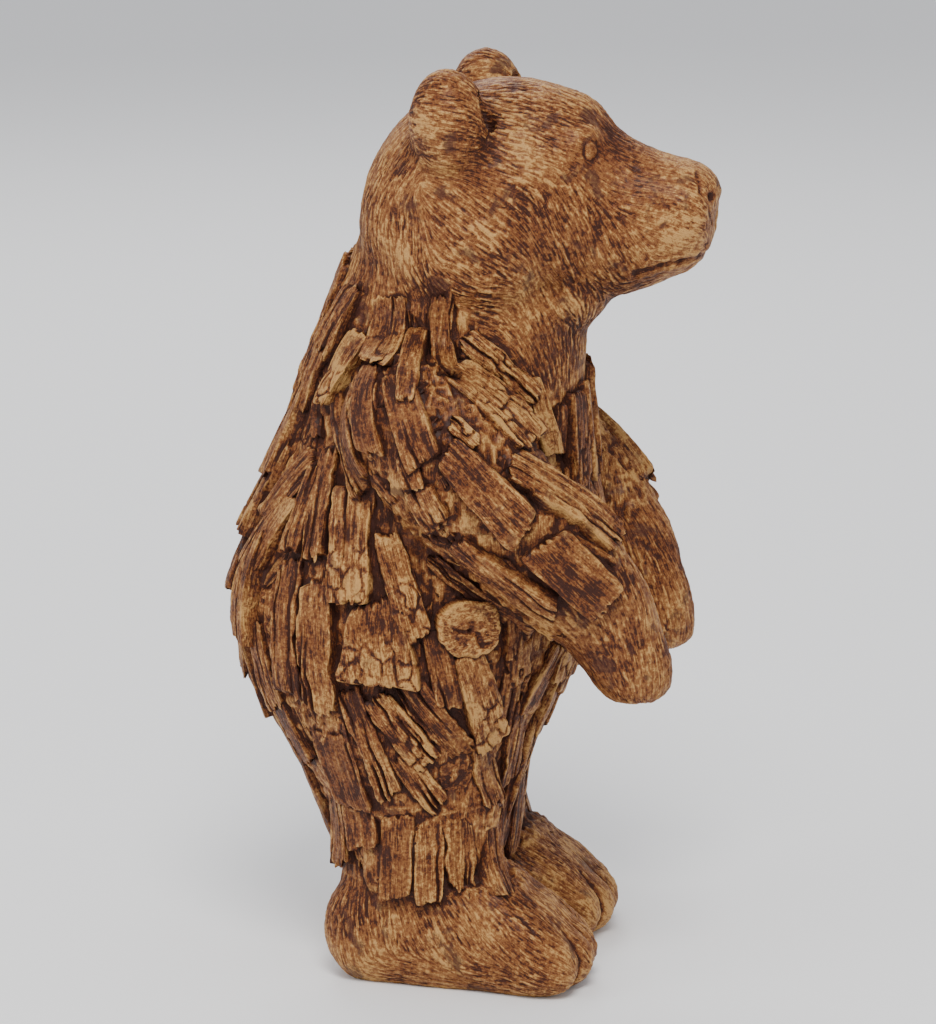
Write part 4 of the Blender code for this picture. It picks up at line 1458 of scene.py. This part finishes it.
def vector_maths(tree, operation, inputs):
    return node(tree, "ShaderNodeVectorMath", inputs, operation=operation).outputs[0]


def eased(tree, value, low, high):
    """0 below low, 1 above high and smooth in between."""
    inputs = {"Value": value, "From Min": low, "From Max": high}
    return node(tree, "ShaderNodeMapRange", inputs, interpolation_type="SMOOTHSTEP").outputs[0]


def mixed(tree, share, first, second):
    made = node(tree, "ShaderNodeMix", data_type="RGBA")
    for key, value in ((0, share), (6, first), (7, second)):
        if isinstance(value, bpy.types.NodeSocket):
            tree.links.new(value, made.inputs[key])
        else:
            made.inputs[key].default_value = value
    return made.outputs[2]


def new_effect(name, inputs, outputs):
    """An empty shader node group with named inputs and outputs, and its two end nodes."""
    tree = bpy.data.node_groups.new(name, "ShaderNodeTree")
    for title, kind, value in inputs:
        socket = tree.interface.new_socket(title, in_out="INPUT", socket_type=f"NodeSocket{kind}")
        socket.default_value = value
    for title, kind in outputs:
        tree.interface.new_socket(title, in_out="OUTPUT", socket_type=f"NodeSocket{kind}")
    return tree, tree.nodes.new("NodeGroupInput").outputs, tree.nodes.new("NodeGroupOutput").inputs


STREAK_STEPS = (-1, -0.8, -0.6, -0.4, -0.2, 0, 0.2, 0.4, 0.6, 0.8, 1)


def streak_effect():
    """Fine lines that follow the lie of the hair or the grain: noise drawn out along it."""
    tree, given, result = new_effect(
        "streaks along the lie",
        (("Lie", "Vector", (0, 0, 1)), ("Width", "Float", 0.001), ("Reach", "Float", 0.003)),
        (("Streaks", "Float"),),
    )
    place = node(tree, "ShaderNodeTexCoord").outputs["Object"]
    scale = maths(tree, "DIVIDE", 1, given["Width"])
    total = 0
    for step in STREAK_STEPS:
        reach = maths(tree, "MULTIPLY", given["Reach"], step)
        offset = vector_maths(tree, "SCALE", {0: given["Lie"], "Scale": reach})
        spot = vector_maths(tree, "ADD", {0: place, 1: offset})
        lines = node(tree, "ShaderNodeTexNoise", {"Vector": spot, "Scale": scale, "Detail": 1})
        total = maths(tree, "ADD", lines.outputs["Fac"], total)
    mean = maths(tree, "DIVIDE", total, len(STREAK_STEPS))
    tree.links.new(eased(tree, mean, 0.43, 0.57), result["Streaks"])
    return tree


def grain_effect():
    """Fine lines along a chip's grain, from its own measure of along, across and out."""
    tree, given, result = new_effect(
        "split grain", (("Grain", "Vector", (0, 0, 0)), ("Width", "Float", 0.001), ("Stretch", "Float", 8)),
        (("Streaks", "Float"),),
    )
    scale = maths(tree, "DIVIDE", 1, given["Width"])
    along = maths(tree, "DIVIDE", scale, given["Stretch"])
    squeeze = node(tree, "ShaderNodeCombineXYZ", {0: along, 1: scale, 2: scale})
    place = vector_maths(tree, "MULTIPLY", {0: given["Grain"], 1: squeeze.outputs[0]})
    broad = node(tree, "ShaderNodeTexNoise", {"Vector": place, "Scale": 0.45, "Detail": 2, "Roughness": 0.6})
    fine = node(tree, "ShaderNodeTexNoise", {"Vector": place, "Scale": 1.3, "Detail": 2, "Roughness": 0.6})
    half = maths(tree, "MULTIPLY", broad.outputs["Fac"], 0.5)
    total = maths(tree, "MULTIPLY_ADD", fine.outputs["Fac"], 0.5, half)
    tree.links.new(eased(tree, total, 0.39, 0.61), result["Streaks"])
    return tree


def patch_effect():
    """Uneven paint: soft patches, a fine mottle, and ragged blotches where the dark coat was left on."""
    tree, given, result = new_effect(
        "uneven paint",
        (
            ("Size", "Float", 0.02), ("Blotch Size", "Float", 0.012), ("Blotches", "Float", 0.62),
            ("Mottle Size", "Float", 0.0016),
        ),
        (("Patches", "Float"), ("Blotches", "Float"), ("Mottle", "Float")),
    )
    place = node(tree, "ShaderNodeTexCoord").outputs["Object"]
    wide = maths(tree, "DIVIDE", 1, given["Size"])
    soft = node(tree, "ShaderNodeTexNoise", {"Vector": place, "Scale": wide, "Detail": 3, "Roughness": 0.6})
    tree.links.new(eased(tree, soft.outputs["Fac"], 0.32, 0.68), result["Patches"])
    small = maths(tree, "DIVIDE", 1, given["Blotch Size"])
    ragged = node(
        tree, "ShaderNodeTexNoise",
        {"Vector": place, "Scale": small, "Detail": 5, "Roughness": 0.62, "Distortion": 0.4},
    )
    high = maths(tree, "ADD", given["Blotches"], 0.05)
    low = maths(tree, "SUBTRACT", given["Blotches"], 0.03)
    tree.links.new(eased(tree, ragged.outputs["Fac"], low, high), result["Blotches"])
    grain = maths(tree, "DIVIDE", 1, given["Mottle Size"])
    mottle = node(
        tree, "ShaderNodeTexNoise",
        {"Vector": place, "Scale": grain, "Detail": 3, "Roughness": 0.7},
    )
    tree.links.new(eased(tree, mottle.outputs["Fac"], 0.36, 0.64), result["Mottle"])
    return tree


COAT_COLOURS = ("Raised Colour", "Ground Colour", "Rust Colour", "Wash Colour", "Blotch Colour", "Painted Shade Colour")
EFFECT_STRENGTHS = {"Streaks": "Streak Strength", "Patches": "Patch Strength", "Mottle": "Mottle Strength"}


def coat_effect():
    """The coats of paint, from dark wash in the hollows over rust and ochre to tan on what is raised, with painted
    shade.
    """
    tree, given, result = new_effect(
        "coats of paint",
        (
            ("Relief", "Float", 0), ("Shade", "Float", 1), ("Stain", "Float", 0), ("Tone", "Float", 0),
            ("Streaks", "Float", 0.5), ("Patches", "Float", 0.5), ("Mottle", "Float", 0.5),
            ("Blotches", "Float", 0), ("Level", "Float", 0.5), ("Blotch Strength", "Float", 0.8),
            ("Painted Shade Strength", "Float", 1),
            ("Dry Brush", "Float", 0.4), ("Tone Strength", "Float", 0.4), ("Wash Strength", "Float", 0.4),
            *((name, "Float", 0.4) for name in EFFECT_STRENGTHS.values()),
            *((name, "Color", (1, 1, 1, 1)) for name in COAT_COLOURS),
        ),
        (("Colour", "Color"), ("Dark", "Float")),
    )
    level = maths(tree, "MULTIPLY_ADD", given["Relief"], given["Dry Brush"], given["Level"])
    level = maths(tree, "MULTIPLY_ADD", given["Tone"], given["Tone Strength"], level)
    for effect, strength in EFFECT_STRENGTHS.items():
        share = given[strength]
        if effect == "Streaks":
            share = maths(tree, "MULTIPLY", share, maths(tree, "SUBTRACT", 1.5, given["Patches"]))
        centred = maths(tree, "SUBTRACT", given[effect], 0.5)
        level = maths(tree, "MULTIPLY_ADD", centred, share, level)
    # Painted shade: the paint is darkened where the rays find the surface hemmed in by the bear, as contact shadow
    painted_shade_openness = eased(tree, given["Shade"], 0.4, 0.95)
    level = maths(tree, "MULTIPLY_ADD", maths(tree, "SUBTRACT", painted_shade_openness, 0.9), 0.8, level)
    wash = maths(tree, "MULTIPLY", given["Stain"], given["Wash Strength"])
    level = maths(tree, "SUBTRACT", level, wash)
    rust = mixed(tree, eased(tree, level, -0.05, 0.25), given["Wash Colour"], given["Rust Colour"])
    ground = mixed(tree, eased(tree, level, 0.22, 0.55), rust, given["Ground Colour"])
    raised = mixed(tree, eased(tree, level, 0.55, 1), ground, given["Raised Colour"])
    blotch = maths(tree, "MULTIPLY", given["Blotches"], given["Blotch Strength"])
    blotched = mixed(tree, blotch, raised, given["Blotch Colour"])
    # Painted shade: where the surface lies deep and hemmed in, the colour turns near black, as the shade there would
    gap = maths(tree, "SUBTRACT", 1, eased(tree, given["Shade"], 0.14, 0.54))
    gap = maths(tree, "MULTIPLY", gap, given["Painted Shade Strength"])
    tree.links.new(mixed(tree, gap, blotched, given["Painted Shade Colour"]), result["Colour"])
    tree.links.new(maths(tree, "SUBTRACT", 1, eased(tree, level, 0, 0.6)), result["Dark"])
    return tree


ROUGHNESS = (0.55, 0.72)    # of the raised paint and of the dark wash
VARNISH_ROUGHNESS = 0.36
SHINE = 0.2
BUMP_STRENGTH = 0.8


def effect_node(tree, effect, sizes):
    """A shader group put to use in a material, with its own sizes."""
    group = node(tree, "ShaderNodeGroup", node_tree=effect)
    for title, value in sizes.items():
        group.inputs[title].default_value = value
    return group


def painted(name, effects, paint, **values):
    """A satin painted resin, whose coats follow the relief, the hollows and the lie of the surface."""
    material = bpy.data.materials.new(name)
    material.use_nodes = True
    tree = material.node_tree
    shader = tree.nodes["Principled BSDF"]
    streaks = effect_node(tree, effects[values["lines"]], values["line_sizes"])
    run = node(tree, "ShaderNodeAttribute", attribute_name=values["lines"]).outputs["Vector"]
    tree.links.new(run, streaks.inputs[0])
    patches = effect_node(tree, effects["patches"], values["patches"])
    coats = effect_node(tree, effects["coats"], values["coats"])
    for title in ("Relief", "Shade", "Stain", "Tone"):
        mark = node(tree, "ShaderNodeAttribute", attribute_name=title.lower()).outputs["Fac"]
        tree.links.new(mark, coats.inputs[title])
    tree.links.new(streaks.outputs["Streaks"], coats.inputs["Streaks"])
    for title in ("Patches", "Blotches", "Mottle"):
        tree.links.new(patches.outputs[title], coats.inputs[title])
    for title in COAT_COLOURS:
        coats.inputs[title].default_value = (*getattr(paint, title.lower().replace(" ", "_")), 1)
    tree.links.new(coats.outputs["Colour"], shader.inputs["Base Color"])
    least, most = ROUGHNESS
    rough = node(
        tree, "ShaderNodeMapRange",
        {"Value": coats.outputs["Dark"], "To Min": least, "To Max": most},
    )
    tree.links.new(rough.outputs[0], shader.inputs["Roughness"])
    pits = patches.outputs["Mottle"]
    rise = maths(tree, "MULTIPLY_ADD", pits, values["pitting"], streaks.outputs["Streaks"])
    bump = node(
        tree, "ShaderNodeBump",
        {"Height": rise, "Strength": BUMP_STRENGTH, "Distance": values["bump"]},
    )
    tree.links.new(bump.outputs[0], shader.inputs["Normal"])
    shader.inputs["Coat Weight"].default_value = paint.coat
    shader.inputs["Coat Roughness"].default_value = VARNISH_ROUGHNESS
    shader.inputs["Specular IOR Level"].default_value = SHINE
    return material


def span(name, description, default, least):
    """A distance that the panel offers."""
    return bpy.props.FloatProperty(
        name=name, description=description, default=default, min=least, subtype="DISTANCE", unit="LENGTH",
    )


def direction(name, description, degrees):
    """An angle that the panel offers."""
    return bpy.props.FloatProperty(
        name=name, description=description, default=math.radians(degrees), subtype="ANGLE",
    )


def colour(name, description, default):
    """A colour that the panel offers."""
    return bpy.props.FloatVectorProperty(
        name=name, description=description, default=default, size=3, subtype="COLOR",
    )


class BearFur(bpy.types.PropertyGroup):
    spacing: span("Spacing", "One stroke of the fur starts in each cube of this size", 2.6 * UNIT, 1.5 * UNIT)
    shortest: span("Shortest", "Length of the shortest stroke", 5 * UNIT, 2 * UNIT)
    longest: span("Longest", "Length of the longest stroke", 11 * UNIT, 3 * UNIT)
    depth: span("Depth", "Depth of the deepest stroke", 0.95 * UNIT, 0.1 * UNIT)


class BearChips(bpy.types.PropertyGroup):
    shown_step: span("Shown Step", "Point spacing along the right side's chips", 0.97 * UNIT, 0.6 * UNIT)
    plain_step: span("Plain Step", "Point spacing along the other chips", 1.85 * UNIT, 0.8 * UNIT)
    slivers: bpy.props.IntProperty(
        name="Slivers", description="How many thin splinters fill the gaps between the chips",
        default=190, min=0,
    )
    crumbs: bpy.props.IntProperty(
        name="Crumbs", description="How many small broken bits lie in the gaps on the right side",
        default=150, min=0,
    )


class BearPaint(bpy.types.PropertyGroup):
    raised_colour: colour("Raised Colour", "Tan, dry-brushed over ridges and edges", (0.52, 0.278, 0.088))
    ground_colour: colour("Ground Colour", "Ochre that covers most of the resin", (0.25, 0.094, 0.025))
    rust_colour: colour("Rust Colour", "Warm brown between the ochre and the wash", (0.14, 0.036, 0.008))
    wash_colour: colour("Wash Colour", "Umber that runs into the hollows", (0.042, 0.0105, 0.0045))
    blotch_colour: colour("Blotch Colour", "Plum brown where the wash was left on", (0.06, 0.017, 0.0105))
    # Painted shade: the near black that the deepest, most hemmed-in places between the chips are painted
    painted_shade_colour: colour("Painted Shade Colour", "Painted shade deep between the chips", (0.01, 0.0045, 0.004))
    coat: bpy.props.FloatProperty(
        name="Coat", description="How much of the satin varnish lies over the paint",
        default=0.11, min=0, max=1, subtype="FACTOR",
    )


class BearStage(bpy.types.PropertyGroup):
    floor_size: span("Floor Size", "Side of the pale floor", 14, 2)
    floor_colour: colour("Floor Colour", "Colour of the floor", (0.9, 0.9, 0.9))
    distance: span("Distance", "From the camera to the middle of the bear", 1.9, 0.5)
    azimuth: direction("Azimuth", "How far round the bear the camera stands", -81)
    elevation: direction("Elevation", "How far the camera looks down", 13)
    lens: bpy.props.FloatProperty(
        name="Lens", description="Focal length on a 36 mm high picture", default=154.3, min=20,
    )


class BEAR_OT_sculpt_core(bpy.types.Operator):
    """Sculpt the furred head, the crumbled trunk and the furred feet"""

    bl_idname = "bear.sculpt_core"
    bl_label = "Sculpt Head, Trunk and Feet"

    def execute(self, context):
        fine = sculpted_core(context.scene.bear_fur, random.Random(FUR_SEED))
        _, height, slope = COLLAR_CUT
        collar = at(0, 0, height)
        up = at(0, slope, 1).normalized()
        ankle = at(0, 0, ANKLE_CUT[1])
        overlap = up * (CUT_OVERLAP * UNIT)
        rise = Vector((0, 0, CUT_OVERLAP * UNIT))
        skyward = Vector((0, 0, 1))
        parts = (
            ("furred_head", ((collar - overlap, -up),), HEAD_TRIANGLES),
            ("trunk_and_arms", ((collar, up), (ankle - rise, -skyward)), TRUNK_TRIANGLES),
            ("furred_feet", ((ankle, skyward),), FEET_TRIANGLES),
        )
        for name, planes, triangles in parts:
            inside_box(cut_piece(fine, name, planes, triangles).data)
        bpy.data.meshes.remove(fine)
        return {"FINISHED"}


class BEAR_OT_clad(bpy.types.Operator):
    """Clad the body in split chips, sawn knots and slivers of driftwood"""

    bl_idname = "bear.clad"
    bl_label = "Clad in Driftwood"

    def execute(self, context):
        for piece in clad(context.scene.bear_chips):
            inside_box(piece.data)
        return {"FINISHED"}


class BEAR_OT_paint(bpy.types.Operator):
    """Measure relief and openness, paint every piece with painted shade in its hollows, and stand them in for the
    plain solid
    """

    bl_idname = "bear.paint"
    bl_label = "Paint"

    def execute(self, context):
        paint = context.scene.bear_paint
        pieces = [bpy.data.objects[name] for name in (*CORE_PIECES, *CHIP_PIECES)]
        measure_relief_and_shade(pieces)
        effects = {
            "lie": streak_effect(),
            "grain": grain_effect(),
            "patches": patch_effect(),
            "coats": coat_effect(),
        }
        fur = painted("painted fur", effects, paint, **FUR_FINISH)
        wood = painted("painted driftwood", effects, paint, **WOOD_FINISH)
        for piece in pieces:
            mesh = piece.data
            mesh.shade_smooth()
            if piece.name in CHIP_PIECES:
                mesh.set_sharp_from_angle(angle=CREASE)
            mesh.materials.clear()
            mesh.materials.append(wood if piece.name in CHIP_PIECES else fur)
            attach(piece, "root")
            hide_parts("bear_statue")
        return {"FINISHED"}


class BEAR_OT_stage(bpy.types.Operator):
    """Lay the pale floor, and set the soft lights and the camera"""

    bl_idname = "bear.stage"
    bl_label = "Set the Stage"

    def execute(self, context):
        stage = context.scene.bear_stage
        lay_floor(stage)
        for name, place, size, power, colour in SOFT_LIGHTS:
            hang_light(name, place, size, power, colour)
        world = bpy.data.worlds.new("studio")
        world.use_nodes = True
        world.node_tree.nodes["Background"].inputs["Color"].default_value = (*WORLD_COLOUR, 1)
        world.node_tree.nodes["Background"].inputs["Strength"].default_value = WORLD_STRENGTH
        context.scene.world = world
        aim_camera(context.scene, stage)
        return {"FINISHED"}


FUR_SEED = 5
# The coats' painted shade is weak on the fur and full on the wood
FUR_FINISH = {
    "lines": "lie",
    "line_sizes": {"Width": 0.0006, "Reach": 0.0026},
    "patches": {"Size": 0.022, "Blotch Size": 0.012, "Blotches": 0.59, "Mottle Size": 0.0017},
    "bump": 0.0005,
    "pitting": 0.85,
    "coats": {
        "Level": 0.49, "Dry Brush": 0.34, "Tone Strength": 0.35, "Streak Strength": 0.4,
        "Patch Strength": 0.42, "Mottle Strength": 0.36, "Wash Strength": 0.72, "Blotch Strength": 0.7,
        "Painted Shade Strength": 0.4,
    },
}
WOOD_FINISH = {
    "lines": "grain",
    "line_sizes": {"Width": 0.00075, "Stretch": 12},
    "patches": {"Size": 0.014, "Blotch Size": 0.008, "Blotches": 0.6, "Mottle Size": 0.0015},
    "bump": 0.0006,
    "pitting": 0.9,
    "coats": {
        "Level": 0.31, "Dry Brush": 0.22, "Tone Strength": 0.36, "Streak Strength": 0.52,
        "Patch Strength": 0.45, "Mottle Strength": 0.42, "Wash Strength": 0.65, "Blotch Strength": 0.45,
        "Painted Shade Strength": 1,
    },
}
# Soft lights: name, place, size, power in watts and colour
SOFT_LIGHTS = (
    ("key", (-1.5, -0.3, 2.1), 1.0, 51, (1, 0.985, 0.96)),
    ("fill", (-1.3, 1.8, 1.0), 1.6, 14, (0.97, 0.985, 1)),
    ("rim", (1.8, 0.6, 1.7), 1.2, 20, (1, 1, 1)),
)
WORLD_COLOUR = (0.95, 0.96, 1)
WORLD_STRENGTH = 0.75
MIDDLE = 0.198              # height of the point that the camera looks at, and its place along the bear
MIDDLE_ALONG = 0.0015


def lay_floor(stage):
    build = bmesh.new()
    bmesh.ops.create_grid(build, x_segments=1, y_segments=1, size=stage.floor_size / 2)
    floor = linked("floor", mesh_of(build, "floor"))
    material = bpy.data.materials.new("pale floor")
    material.use_nodes = True
    shader = material.node_tree.nodes["Principled BSDF"]
    shader.inputs["Base Color"].default_value = (*stage.floor_colour, 1)
    shader.inputs["Roughness"].default_value = 0.8
    floor.data.materials.append(material)
    floor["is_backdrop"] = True


def hang_light(name, place, size, power, colour):
    light = bpy.data.lights.new(name, "AREA")
    light.shape = "DISK"
    light.size = size
    light.energy = power
    light.color = colour
    lamp = linked(name, light)
    lamp.location = place
    lamp.rotation_euler = (Vector((0, 0, MIDDLE)) - Vector(place)).to_track_quat("-Z", "Y").to_euler()


def aim_camera(scene, stage):
    lens = bpy.data.cameras.new("camera")
    lens.sensor_fit = "VERTICAL"
    lens.sensor_height = 36
    lens.lens = stage.lens
    camera = linked("camera", lens)
    flat = math.cos(stage.elevation)
    aside, ahead = math.sin(stage.azimuth) * flat, -math.cos(stage.azimuth) * flat
    back = Vector((aside, ahead, math.sin(stage.elevation)))
    target = Vector((0, MIDDLE_ALONG, MIDDLE))
    camera.location = target + back * stage.distance
    camera.rotation_euler = back.to_track_quat("Z", "Y").to_euler()
    scene.camera = camera


class BEAR_PT_panel(bpy.types.Panel):
    bl_label = "Driftwood Bear"
    bl_idname = "BEAR_PT_panel"
    bl_space_type = "VIEW_3D"
    bl_region_type = "UI"
    bl_category = "Bear"

    def draw(self, context):
        for group_name in GROUPS:
            group = getattr(context.scene, group_name)
            box = self.layout.box()
            box.label(text=group_name.removeprefix("bear_").title())
            for name in group.bl_rna.properties.keys():
                if name not in ("rna_type", "name"):
                    box.prop(group, name)
        for operator in OPERATORS:
            self.layout.operator(operator.bl_idname)


OPERATORS = (BEAR_OT_sculpt_core, BEAR_OT_clad, BEAR_OT_paint, BEAR_OT_stage)
GROUPS = {"bear_fur": BearFur, "bear_chips": BearChips, "bear_paint": BearPaint, "bear_stage": BearStage}


def register():
    for kind in (*GROUPS.values(), *OPERATORS, BEAR_PT_panel):
        bpy.utils.register_class(kind)
    for name, kind in GROUPS.items():
        setattr(bpy.types.Scene, name, bpy.props.PointerProperty(type=kind))


def unregister():
    for name in GROUPS:
        delattr(bpy.types.Scene, name)
    for kind in (BEAR_PT_panel, *OPERATORS, *GROUPS.values()):
        bpy.utils.unregister_class(kind)


def main():
    register()
    bpy.ops.bear.sculpt_core()
    bpy.ops.bear.clad()
    bpy.ops.bear.paint()
    bpy.ops.bear.stage()
    sizes = {name: [list(corner) for corner in box] for name, box in (("cad", CAD_BOX), ("visual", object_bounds()))}


if __name__ == "__main__":
    main()
